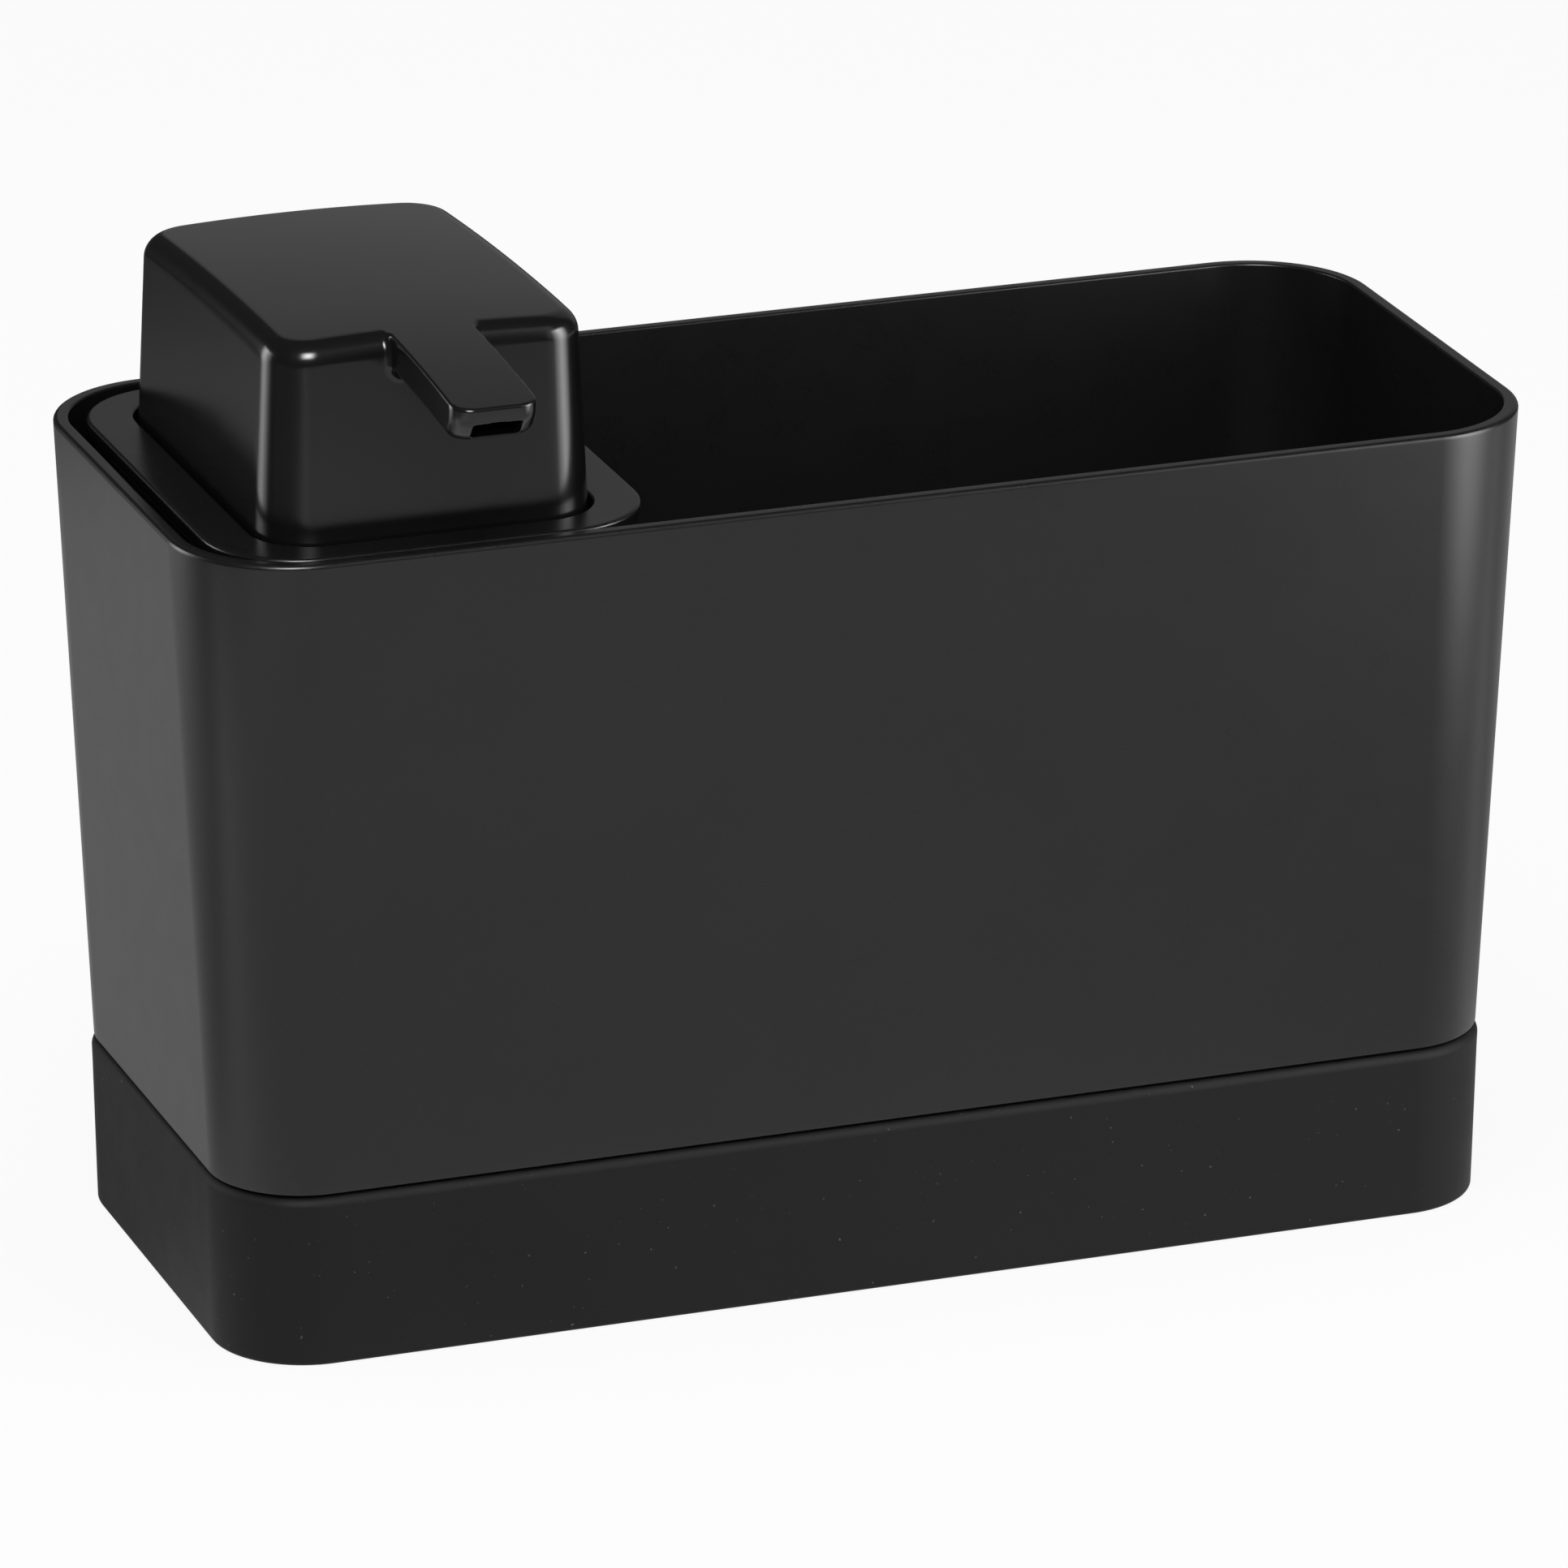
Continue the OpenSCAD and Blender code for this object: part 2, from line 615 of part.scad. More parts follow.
// Bush in the top of the cylinder: guides the stem and stops its shoulder
module stem_guide() {
    bush_d = cylinder_bore - 2 * running_fit;
    color([0.9, 0.9, 0.88])
    translate([dispenser_x, 0, 0])
    difference() {
        union() {
            rod(bush_d, guide_foot_z, closure_top_z + seat_fit + guide_lip / 2);
            rod(cylinder_bore + 4 * guide_lip, closure_top_z + seat_fit, guide_top_z);
        }
        rod(stem_d + 2 * running_fit, guide_foot_z - overrun, guide_top_z + overrun);
    }
}

// Hollow stem with the shoulder that stops under the guide and the spigot of the piston
module stem() {
    color([0.92, 0.92, 0.9])
    translate([dispenser_x, 0, 0])
    difference() {
        union() {
            rod(stem_spigot_d, piston_foot_z, piston_top_z + stem_shoulder_h / 2);
            rod(stem_shoulder_d, piston_top_z, shoulder_top_z);
            rod(stem_d, shoulder_top_z - stem_shoulder_h / 2, stem_top_z);
        }
        rod(stem_bore, piston_foot_z - overrun, stem_top_z + overrun);
    }
}

// Piston with a lip at each end and a waist between them
module piston() {
    lip_r = cylinder_bore / 2 - running_fit;
    waist_r = lip_r - cylinder_wall / 2;
    bore_r = stem_spigot_d / 2 + running_fit;
    lip = piston_len / 5;
    color([0.85, 0.87, 0.9])
    translate([dispenser_x, 0, piston_foot_z])
        rotate_extrude($fn = round_fn)
            polygon([
                [bore_r, 0],
                [lip_r - lip / 4, 0],
                [lip_r, lip / 4],
                [lip_r, lip],
                [waist_r, 2 * lip],
                [waist_r, 3 * lip],
                [lip_r, 4 * lip],
                [lip_r, piston_len - lip / 4],
                [lip_r - lip / 4, piston_len],
                [bore_r, piston_len]
            ]);
}

// Plug in the stem's bore that keeps the piston on and takes the spring
module stem_foot() {
    plug_d = stem_bore - 2 * running_fit;
    plug_bore = plug_d / 2;
    plug_reach = piston_len / 2;
    foot_z = piston_foot_z - seat_fit - foot_flange_h;
    color([0.8, 0.8, 0.78])
    translate([dispenser_x, 0, 0])
    difference() {
        union() {
            rod(foot_flange_d, foot_z, foot_z + foot_flange_h);
            rod(plug_d, foot_z + foot_flange_h / 2, piston_foot_z + plug_reach);
        }
        rod(plug_bore, foot_z - overrun, piston_foot_z + plug_reach + overrun);
    }
}

// Points of the spring: centre line, then a hexagon round it
spring_rings_per_turn = 8;
spring_sides = 6;
spring_ring_count = spring_turns * spring_rings_per_turn;
function spring_rise(i) = spring_wire / 2 + (spring_len - spring_wire) * i / spring_ring_count;
function spring_centre(i) =
    let (a = 360 * i / spring_rings_per_turn) [spring_r * cos(a), spring_r * sin(a), spring_rise(i)];
function spring_point(i, k) =
    let (a = 360 * i / spring_rings_per_turn, b = 360 * k / spring_sides, w = spring_wire / 2)
    [(spring_r + w * cos(b)) * cos(a), (spring_r + w * cos(b)) * sin(a), spring_rise(i) + w * sin(b)];
spring_self_gap = min([for (i = [0:spring_rings_per_turn], j = [i + spring_rings_per_turn / 2:spring_ring_count])
    norm(spring_centre(i) - spring_centre(j))]) - spring_wire;
echo(spring_self_gap = spring_self_gap);

module return_spring() {
    last = spring_ring_count * spring_sides;
    color([0.75, 0.76, 0.78])
    translate([dispenser_x, 0, spring_foot_z])
        polyhedron(
            points = [for (i = [0:spring_ring_count], k = [0:spring_sides - 1]) spring_point(i, k)],
            faces = concat(
                [[for (k = [spring_sides - 1:-1:0]) k]],
                [[for (k = [0:spring_sides - 1]) last + k]],
                [for (i = [0:spring_ring_count - 1], k = [0:spring_sides - 1], half = [0, 1])
                    let (a = i * spring_sides + k, b = i * spring_sides + (k + 1) % spring_sides)
                    half == 0 ? [a, b, b + spring_sides] : [a, b + spring_sides, a + spring_sides]]
            ),
            convexity = 10
        );
}

// Slotted disc over the inlet ball, which also seats the spring
module ball_cage() {
    port_d = (inlet_ball_d - spring_wire) / 3;
    port_offset = inlet_ball_d / 2 - port_d / 2;
    stop_d = chamber_d - 2 * seat_fit;
    color([0.86, 0.86, 0.84])
    translate([dispenser_x, 0, 0])
    difference() {
        union() {
            rod(cylinder_bore - 2 * running_fit, cage_foot_z, cage_foot_z + cage_h);
            rod(stop_d, inlet_stop_z, cage_foot_z + cage_h / 2);
        }
        for (i = [0:3])
            rotate([0, 0, 90 * i])
                translate([port_offset, 0, 0])
                    rod(port_d, inlet_stop_z - overrun, cage_foot_z + cage_h + overrun);
    }
}

module inlet_ball() {
    color([0.78, 0.79, 0.8])
    translate([dispenser_x, 0, inlet_ball_z])
        sphere(d = inlet_ball_d, $fn = round_fn);
}

module outlet_ball() {
    color([0.78, 0.79, 0.8])
    translate([dispenser_x, 0, outlet_ball_z])
        sphere(d = outlet_ball_d, $fn = round_fn);
}

module dip_tube() {
    color([0.9, 0.92, 0.92])
    translate([dispenser_x, 0, 0])
        tube(dip_tube_d, dip_tube_d - 2 * dip_tube_wall, tube_foot_z, tube_top_z - seat_fit);
}

// Skin of the head, or the hollow in it when it is set in by a wall
module head_body(wall, foot_z) {
    r_top = max(head_corner_r - head_draft - head_edge_r - wall, least_corner_r);
    top_z = head_top_z - wall;
    edge_r = head_edge_r;
    edge_arc = [for (i = [0:edge_steps]) let (a = 90 * i / edge_steps)
        [edge_r * (1 - cos(a)), edge_r * (1 - sin(a))]];
    loft(concat(
        [level_ring(head_x - wall, head_y - wall, max(head_corner_r - wall, r_top), foot_z)],
        [for (p = edge_arc) crowned_ring(head_x - head_draft - wall - p[0],
            head_y - head_draft - wall - p[0],
            max(head_corner_r - head_draft - wall - p[0], r_top), top_z - p[1])]
    ), crowned = true);
}

// Line at a depth under the crown, from one place to another
function crown_line(depth, y0, y1) =
    [for (i = [0:crown_steps]) let (y = y0 + (y1 - y0) * i / crown_steps)
        [y, head_top_z - crown_drop(y) - depth]];

// A band between two depths under the crown, as wide as asked
module crown_band(w, deep, shallow, y0, y1) {
    translate([-w / 2, 0, 0])
        rotate([90, 0, 90])
            linear_extrude(height = w)
                polygon(concat(crown_line(deep, y0, y1), crown_line(shallow, y1, y0)));
}

// Side view of the spout: the crown above, the slanted end face, the underside and its fillet
module spout_side() {
    face_y = head_draft - head_y;
    root_y = face_y + head_edge_r;
    fillet_y = face_y - spout_fillet_r;
    fillet_z = head_top_z - crown_drop(fillet_y) - spout_thick - spout_fillet_r;
    nose_z = head_top_z - crown_drop(spout_nose_y + spout_nose_r) - spout_nose_r;
    polygon(concat(
        crown_line(0, root_y, spout_nose_y + spout_nose_r),
        [for (i = [1:edge_steps]) let (a = 90 * i / edge_steps)
            [spout_nose_y + spout_nose_r * (1 - sin(a)), nose_z + spout_nose_r * cos(a)]],
        [[spout_nose_y, nose_z + spout_nose_r - spout_nose_h]],
        crown_line(spout_thick, spout_nose_y + spout_undercut, fillet_y),
        [for (i = [1:edge_steps]) let (a = 90 * i / edge_steps)
            [fillet_y + spout_fillet_r * sin(a), fillet_z + spout_fillet_r * cos(a)]],
        [[root_y, fillet_z]]
    ));
}

// Top view of the spout, with fillets at its root and rounded corners at its tip
module spout_plan() {
    half = spout_w / 2;
    face_y = head_draft - head_y;
    root_y = head_edge_r + face_y;
    right = concat(
        [for (i = [0:corner_steps]) let (a = 90 * i / corner_steps)
            [half - spout_tip_r + spout_tip_r * sin(a), spout_nose_y + spout_tip_r - spout_tip_r * cos(a)]],
        [for (i = [0:corner_steps]) let (a = 90 * i / corner_steps)
            [half + spout_fillet_r - spout_fillet_r * cos(a), face_y - spout_fillet_r + spout_fillet_r * sin(a)]],
        [[half + spout_fillet_r, root_y + head_wall]]
    );
    polygon(both_halves(right));
}

module spout() {
    intersection() {
        translate([-spout_w, 0, 0])
            rotate([90, 0, 90])
                linear_extrude(height = 2 * spout_w)
                    spout_side();
        translate([0, 0, skirt_z])
            linear_extrude(height = 2 * head_height)
                spout_plan();
    }
}

// Press head: hollow shell with the spout, the channel of the duct and the outlet
module pump_head() {
    channel_w = duct_w + 2 * seat_fit;
    channel_end_y = spout_nose_y + spout_undercut + tip_wall;
    channel_floor = duct_floor_depth + seat_fit;
    channel_roof = duct_roof_depth - seat_fit;
    color([0.1, 0.1, 0.105])
    translate([dispenser_x, 0, 0])
    difference() {
        union() {
            head_body(0, skirt_z);
            spout();
        }
        head_body(head_wall, skirt_z - overrun);
        crown_band(channel_w, channel_floor, channel_roof, channel_end_y, duct_back_y + seat_fit);
        crown_band(outlet_w, duct_bore_floor_depth, duct_bore_roof_depth, spout_nose_y - overrun, 0);
    }
}

// Channel from the outlet valve to the tip of the spout
module spout_duct() {
    front_y = spout_nose_y + spout_undercut + tip_wall + seat_fit;
    color([0.2, 0.2, 0.21])
    translate([dispenser_x, 0, 0])
    difference() {
        crown_band(duct_w, duct_floor_depth, duct_roof_depth, front_y, duct_back_y);
        crown_band(outlet_w, duct_bore_floor_depth, duct_bore_roof_depth, front_y - overrun,
            duct_back_y - duct_wall);
        rod(outlet_seat_bore, insert_top_z - overrun, insert_top_z + outlet_h);
    }
}

// Frame inside the head: stem socket, outlet valve seat and the sleeves of the guide posts
module head_insert() {
    z = insert_plate_z;
    rim_inset = head_wall + head_inset(z) + loose_fit;
    edge = max(head_corner_r - rim_inset, 4 * least_corner_r);
    window_x = (head_x - rim_inset - socket_d / 2) / 2;
    window_y = head_y / 4;
    ball_bore = outlet_ball_d + 3 * loose_fit;
    color([0.25, 0.25, 0.26])
    translate([dispenser_x, 0, 0])
    difference() {
        union() {
            block(head_x - rim_inset, head_y - rim_inset, edge, z, z + insert_plate_h);
            rod(socket_d, socket_z, insert_top_z);
            for (side = [-1, 1])
                translate([0, side * post_y, 0])
                    rod(sleeve_d, sleeve_z, z + insert_plate_h / 2);
        }
        rod(stem_d + 2 * running_fit, socket_z - overrun, stem_top_z);
        rod(outlet_seat_bore, stem_top_z - overrun, outlet_seat_z + seat_fit);
        seat_cut(outlet_seat_bore, ball_bore, outlet_seat_z);
        rod(ball_bore, outlet_seat_z + (ball_bore - outlet_seat_bore) / 2, insert_top_z + overrun);
        for (side = [-1, 1])
            translate([0, side * post_y, 0])
                rod(guide_post_d + 2 * running_fit, sleeve_z - overrun, z + insert_plate_h + overrun);
        for (sx = [-1, 1], sy = [-1, 1])
            translate([sx * (socket_d / 2 + window_x), sy * head_y / 3, 0])
                block(window_x * 2 / 3, window_y, edge / 2, z - overrun, z + insert_plate_h + overrun);
    }
}

silicone_base();
caddy();
bottle();
collar_plate();
plate_seal();
neck_gasket();
pump_housing();
pump_closure();
stem_guide();
stem();
piston();
stem_foot();
return_spring();
ball_cage();
inlet_ball();
outlet_ball();
dip_tube();
pump_head();
head_insert();
spout_duct();
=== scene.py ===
# Sink organizer: a black caddy in a silicone tray, with a lift-out soap dispenser at its left end.
# Lengths in the dictionaries are millimetres and angles are degrees.
import math

import bmesh
import bpy
import numpy as np
from mathutils import Matrix, Vector


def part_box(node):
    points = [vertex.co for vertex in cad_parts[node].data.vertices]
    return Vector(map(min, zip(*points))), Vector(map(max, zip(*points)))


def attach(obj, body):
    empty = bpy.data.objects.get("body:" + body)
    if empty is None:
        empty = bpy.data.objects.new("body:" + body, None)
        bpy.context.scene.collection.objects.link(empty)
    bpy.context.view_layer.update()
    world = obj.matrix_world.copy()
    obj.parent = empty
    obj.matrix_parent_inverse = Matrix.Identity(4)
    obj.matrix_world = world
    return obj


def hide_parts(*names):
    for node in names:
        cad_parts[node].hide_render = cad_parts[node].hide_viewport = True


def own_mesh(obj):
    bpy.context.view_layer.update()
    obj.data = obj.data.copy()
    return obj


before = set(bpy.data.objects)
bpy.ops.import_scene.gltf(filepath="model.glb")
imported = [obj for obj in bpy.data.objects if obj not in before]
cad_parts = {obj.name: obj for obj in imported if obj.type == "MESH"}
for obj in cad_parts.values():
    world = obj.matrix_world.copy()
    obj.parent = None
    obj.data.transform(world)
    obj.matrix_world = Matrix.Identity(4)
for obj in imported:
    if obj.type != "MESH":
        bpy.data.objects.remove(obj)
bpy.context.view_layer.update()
mm = 0.001
scene = bpy.context.scene
scene.view_settings.view_transform = "Standard"
print("frame loaded with", len(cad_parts), "nodes")

# The photograph's viewpoint
photoView = {
    "azimuth": -20.16,
    "elevation": 20.02,
    "roll": 0.14,
    "target": (0, 0, 80),
    "distance": 1771.3,
    "besideTarget": -0.42,
    "aboveTarget": -10.5,
    "lens": 258.1,
    "sensor": 36,
}


def turned(azimuth, elevation):
    # Direction that points from the object towards a place round it
    a = math.radians(azimuth)
    e = math.radians(elevation)
    return Vector((math.sin(a) * math.cos(e), -math.cos(a) * math.cos(e), math.sin(e)))


def placeCamera(view):
    back = turned(view["azimuth"], view["elevation"])
    level = back.cross(Vector((0, 0, -1))).normalized()
    tilt = Matrix.Rotation(math.radians(view["roll"]), 3, back)
    right = tilt @ level
    up = back.cross(right)
    lens = bpy.data.cameras.new("photoCamera")
    lens.lens = view["lens"]
    lens.sensor_width = view["sensor"]
    lens.clip_start = 0.1
    lens.clip_end = 40
    eye = Vector(view["target"]) + view["distance"] * back
    eye += view["besideTarget"] * right + view["aboveTarget"] * up
    camera = bpy.data.objects.new("photoCamera", lens)
    turn = Matrix((right, up, back)).transposed().to_4x4()
    camera.matrix_world = Matrix.Translation(eye * mm) @ turn
    scene.collection.objects.link(camera)
    scene.camera = camera


placeCamera(photoView)
print("camera placed")

# Studio: a pale floor, a soft light overhead and a smaller one in front
studio = {
    "floorReach": 6000,
    "floorColour": (0.82, 0.82, 0.82),
    "floorRough": 0.9,
    "floorWhite": 0.9,
    "roomLight": 0.5,
}
# How bright the floor looks in the gloss, from front to back and from left to right; the dim stretches
# near the object are painted shade standing for its shadow
floorGlow = {
    "Y": ((-1100, 0.1), (-900, 0.25), (-780, 0.6), (-680, 0.95), (-300, 1.05), (-190, 0.95),
          (-110, 0.95), (-40, 1.25), (20, 0.5), (350, 0.49), (400, 0.2), (480, 0.16), (540, 0.07)),
    "X": ((-560, 0.15), (-450, 0.35), (-390, 1.1), (-330, 1.4), (-280, 1.1), (-230, 1), (60, 1),
          (160, 0.8), (260, 0.8), (320, 1)),
}
softLights = {
    "overhead": {"from": (-10, 78), "away": 1300, "size": (1300, 1000), "watts": 10},
    "front": {"from": (-22, 42), "away": 1300, "size": (700, 700), "watts": 5},
}
# What only the gloss shows: a dim tent, and cards with soft edges and a shade from foot to top
tent = {"radius": 2600, "grey": 0.04, "columns": 48, "rows": 24}
# Half the side of a card's sheet before it is scaled, and the height that raised cards face
cardHalf = 500
cardAim = 400
cards = {
    "backCard": {"at": (820, 1256, 800), "size": (1700, 1500), "soft": (0.1, 0.01),
                 "foot": 0.27, "top": 0.24},
    "frontCard": {"at": (-362, -896, 950), "size": (640, 760), "soft": (0.35, 0.35),
                  "foot": 34, "top": 34},
    "sideCard": {"at": (625, -813, 755), "size": (780, 1300), "soft": (0.3, 0.12),
                 "foot": 0.85, "top": 0.85},
    "leftStrip": {"at": (-400, 235, 151), "size": (330, 300), "soft": (0.48, 0.01),
                  "foot": 2.6, "top": 9},
    "rightStrip": {"at": (298, -222, 186), "size": (320, 370), "soft": (0.48, 0.01),
                   "foot": 6.5, "top": 20},
}


def spread(nodes, links, source, low, high, start=0.35, end=0.65):
    # Takes one range to another: what comes in from start to end goes out from low to high
    fit = nodes.new("ShaderNodeMapRange")
    fit.inputs["From Min"].default_value = start
    fit.inputs["From Max"].default_value = end
    fit.inputs["To Min"].default_value = low
    fit.inputs["To Max"].default_value = high
    links.new(source, fit.inputs["Value"])
    return fit.outputs["Result"]


def shadeAlong(nodes, links, source, stops):
    # Brightness that goes through a row of stops, each a place in millimetres and a shade
    first = stops[0][0]
    last = stops[-1][0]
    share = spread(nodes, links, source, 0, 1, first * mm, last * mm)
    ramp = nodes.new("ShaderNodeValToRGB")
    links.new(share, ramp.inputs[0])
    line = ramp.color_ramp
    line.elements[0].color = (*[stops[0][1]] * 3, 1)
    line.elements[-1].color = (*[stops[-1][1]] * 3, 1)
    for place, shade in stops[1:-1]:
        line.elements.new((place - first) / (last - first)).color = (*[shade] * 3, 1)
    return ramp.outputs["Color"]


def whiteRays(nodes, links):
    # 1 for the rays that should see a plain white background
    rays = nodes.new("ShaderNodeLightPath")
    shiny = nodes.new("ShaderNodeMath")
    shiny.operation = "MAXIMUM"
    links.new(rays.outputs["Is Glossy Ray"], shiny.inputs[0])
    links.new(rays.outputs["Is Transmission Ray"], shiny.inputs[1])
    seen = nodes.new("ShaderNodeMath")
    seen.operation = "MAXIMUM"
    links.new(rays.outputs["Is Camera Ray"], seen.inputs[0])
    links.new(shiny.outputs[0], seen.inputs[1])
    return seen


def lightRoom():
    world = bpy.data.worlds.new("studio")
    world.use_nodes = True
    scene.world = world
    nodes = world.node_tree.nodes
    links = world.node_tree.links
    nodes.clear()
    room = nodes.new("ShaderNodeBackground")
    room.inputs["Strength"].default_value = studio["roomLight"]
    white = nodes.new("ShaderNodeBackground")
    white.inputs["Color"].default_value = (1, 1, 1, 1)
    mix = nodes.new("ShaderNodeMixShader")
    out = nodes.new("ShaderNodeOutputWorld")
    links.new(whiteRays(nodes, links).outputs[0], mix.inputs[0])
    links.new(room.outputs[0], mix.inputs[1])
    links.new(white.outputs[0], mix.inputs[2])
    links.new(mix.outputs[0], out.inputs["Surface"])


def flatSheet(name, reach, material):
    # Level square that reaches as far as asked on every side of its middle
    bm = bmesh.new()
    bmesh.ops.create_grid(bm, x_segments=1, y_segments=1, size=reach * mm)
    mesh = bpy.data.meshes.new(name)
    bm.to_mesh(mesh)
    bm.free()
    mesh.materials.append(material)
    sheet = bpy.data.objects.new(name, mesh)
    scene.collection.objects.link(sheet)
    return sheet


def floorMaterial():
    # Pale and lit, plain white to the camera; in the gloss it glows, dimmer where it is far away, with
    # painted shade near the object standing for its shadow
    material = bpy.data.materials.new("paleFloor")
    material.use_nodes = True
    nodes = material.node_tree.nodes
    links = material.node_tree.links
    shader = nodes["Principled BSDF"]
    shader.inputs["Base Color"].default_value = (*studio["floorColour"], 1)
    shader.inputs["Roughness"].default_value = studio["floorRough"]
    shader.inputs["Specular IOR Level"].default_value = 0
    share = nodes.new("ShaderNodeMath")
    share.operation = "MULTIPLY"
    share.inputs[1].default_value = studio["floorWhite"]
    white = nodes.new("ShaderNodeEmission")
    mix = nodes.new("ShaderNodeMixShader")
    links.new(whiteRays(nodes, links).outputs[0], share.inputs[0])
    links.new(share.outputs[0], mix.inputs[0])
    links.new(shader.outputs[0], mix.inputs[1])
    links.new(white.outputs[0], mix.inputs[2])
    geometry = nodes.new("ShaderNodeNewGeometry")
    place = nodes.new("ShaderNodeSeparateXYZ")
    links.new(geometry.outputs["Position"], place.inputs[0])
    dim = nodes.new("ShaderNodeEmission")
    links.new(shadeAlong(nodes, links, place.outputs["Y"], floorGlow["Y"]), dim.inputs["Color"])
    links.new(shadeAlong(nodes, links, place.outputs["X"], floorGlow["X"]), dim.inputs["Strength"])
    rays = nodes.new("ShaderNodeLightPath")
    final = nodes.new("ShaderNodeMixShader")
    links.new(rays.outputs["Is Glossy Ray"], final.inputs[0])
    links.new(mix.outputs[0], final.inputs[1])
    links.new(dim.outputs[0], final.inputs[2])
    links.new(final.outputs[0], nodes["Material Output"].inputs["Surface"])
    return material


def softLight(name, light):
    lamp = bpy.data.lights.new(name, "AREA")
    lamp.shape = "RECTANGLE"
    lamp.size = light["size"][0] * mm
    lamp.size_y = light["size"][1] * mm
    lamp.energy = light["watts"]
    towards = turned(*light["from"])
    holder = bpy.data.objects.new(name, lamp)
    holder.location = (towards * light["away"] + Vector(photoView["target"])) * mm
    holder.rotation_euler = towards.to_track_quat("Z", "Y").to_euler()
    holder.visible_camera = False
    holder.visible_glossy = False
    scene.collection.objects.link(holder)


def softEdge(nodes, links, source, soft):
    # 1 in the middle of a card, falling to 0 at its edge
    edge = cardHalf * mm
    away = nodes.new("ShaderNodeMath")
    away.operation = "ABSOLUTE"
    links.new(source, away.inputs[0])
    return spread(nodes, links, away.outputs[0], 1, 0, edge - soft, edge)


def cardMaterial(name, card):
    material = bpy.data.materials.new(name)
    material.use_nodes = True
    nodes = material.node_tree.nodes
    links = material.node_tree.links
    place = nodes.new("ShaderNodeNewGeometry")
    height = nodes.new("ShaderNodeSeparateXYZ")
    links.new(place.outputs["Position"], height.inputs[0])
    half = card["size"][1] / 2
    shade = spread(nodes, links, height.outputs["Z"], card["foot"], card["top"],
                   (card["at"][2] - half) * mm, (card["at"][2] + half) * mm)
    coordinates = nodes.new("ShaderNodeTexCoord")
    sheetPlace = nodes.new("ShaderNodeSeparateXYZ")
    links.new(coordinates.outputs["Object"], sheetPlace.inputs[0])
    both = nodes.new("ShaderNodeMath")
    both.operation = "MULTIPLY"
    for i, soft in enumerate(card["soft"]):
        links.new(softEdge(nodes, links, sheetPlace.outputs[i], soft), both.inputs[i])
    glow = nodes.new("ShaderNodeEmission")
    links.new(shade, glow.inputs["Color"])
    links.new(both.outputs[0], glow.inputs["Strength"])
    links.new(glow.outputs[0], nodes["Material Output"].inputs["Surface"])
    return material


def onlyInGloss(sheet):
    sheet.visible_camera = False
    sheet.visible_diffuse = False
    sheet.visible_transmission = False
    sheet.visible_shadow = False


def placeCard(name, card):
    # Raised cards are tipped to face the object, and low ones stand upright
    sheet = flatSheet(name, cardHalf, cardMaterial(name, card))
    place = Vector(card["at"])
    towards = Vector((place.x, place.y, max(0, place.z - cardAim)))
    sheet.scale = (card["size"][0] / (2 * cardHalf), card["size"][1] / (2 * cardHalf), 1)
    sheet.rotation_euler = (-towards).to_track_quat("Z", "Y").to_euler()
    sheet.location = place * mm
    onlyInGloss(sheet)


def placeTent():
    material = bpy.data.materials.new("dimTent")
    material.use_nodes = True
    nodes = material.node_tree.nodes
    glow = nodes.new("ShaderNodeEmission")
    glow.inputs["Color"].default_value = (*[tent["grey"]] * 3, 1)
    material.node_tree.links.new(glow.outputs[0], nodes["Material Output"].inputs["Surface"])
    bm = bmesh.new()
    bmesh.ops.create_uvsphere(bm, u_segments=tent["columns"], v_segments=tent["rows"],
                              radius=tent["radius"] * mm)
    mesh = bpy.data.meshes.new("dimTent")
    bm.to_mesh(mesh)
    bm.free()
    mesh.materials.append(material)
    dome = bpy.data.objects.new("dimTent", mesh)
    scene.collection.objects.link(dome)
    onlyInGloss(dome)


lightRoom()
flatSheet("paleFloor", studio["floorReach"], floorMaterial())
for lightName, light in softLights.items():
    softLight(lightName, light)
for cardName, card in cards.items():
    placeCard(cardName, card)
placeTent()
print("studio lit")

# Finishes: colour, gloss and grain of each material slot, and dust on the soft one
finishes = {
    "silicone_tray": {"colour": 0.0068, "paler": 0.0076, "rough": 0.6, "shine": 0.14, "grain": 0.25,
                      "depth": 0.008, "dust": 0.4},
    "caddy_plastic": {"colour": 0.0066, "paler": 0.0074, "rough": 0.28, "shine": 0.33, "grain": 0.3,
                      "depth": 0.006},
    "head_plastic": {"colour": 0.0058, "paler": 0.0064, "rough": 0.185, "shine": 0.35, "grain": 0.3,
                     "depth": 0.002},
    "plate_plastic": {"colour": 0.0052, "paler": 0.0058, "rough": 0.28, "shine": 0.35, "grain": 0.3,
                      "depth": 0.006},
    "bottle_plastic": {"colour": 0.012, "paler": 0.014, "rough": 0.3, "shine": 0.4, "grain": 0.5,
                       "depth": 0.005},
    # Inside parts: black plastic made darker than the outside, painted shade for the dark outlet and
    # hollow of the head
    "inner_plastic": {"colour": 0.003, "paler": 0.0034, "rough": 0.5, "shine": 0.02, "grain": 0.4,
                      "depth": 0.006},
    "pump_plastic": {"colour": 0.72, "paler": 0.76, "rough": 0.35, "shine": 0.5, "grain": 0.5,
                     "depth": 0.004},
    "seal": {"colour": 0.3, "paler": 0.33, "rough": 0.6, "shine": 0.35, "grain": 0.2,
             "depth": 0.006},
    "piston_plastic": {"colour": 0.6, "paler": 0.65, "rough": 0.3, "shine": 0.5, "grain": 0.4,
                       "depth": 0.003},
    "tube_plastic": {"colour": 0.62, "paler": 0.66, "rough": 0.25, "shine": 0.5, "grain": 0.8,
                     "depth": 0.004},
    "spring_steel": {"colour": 0.55, "paler": 0.6, "rough": 0.22, "shine": 0.5, "grain": 0.1,
                     "depth": 0.002, "metal": True},
    "ball_steel": {"colour": 0.6, "paler": 0.63, "rough": 0.12, "shine": 0.5, "grain": 0.3,
                   "depth": 0.001, "metal": True},
}

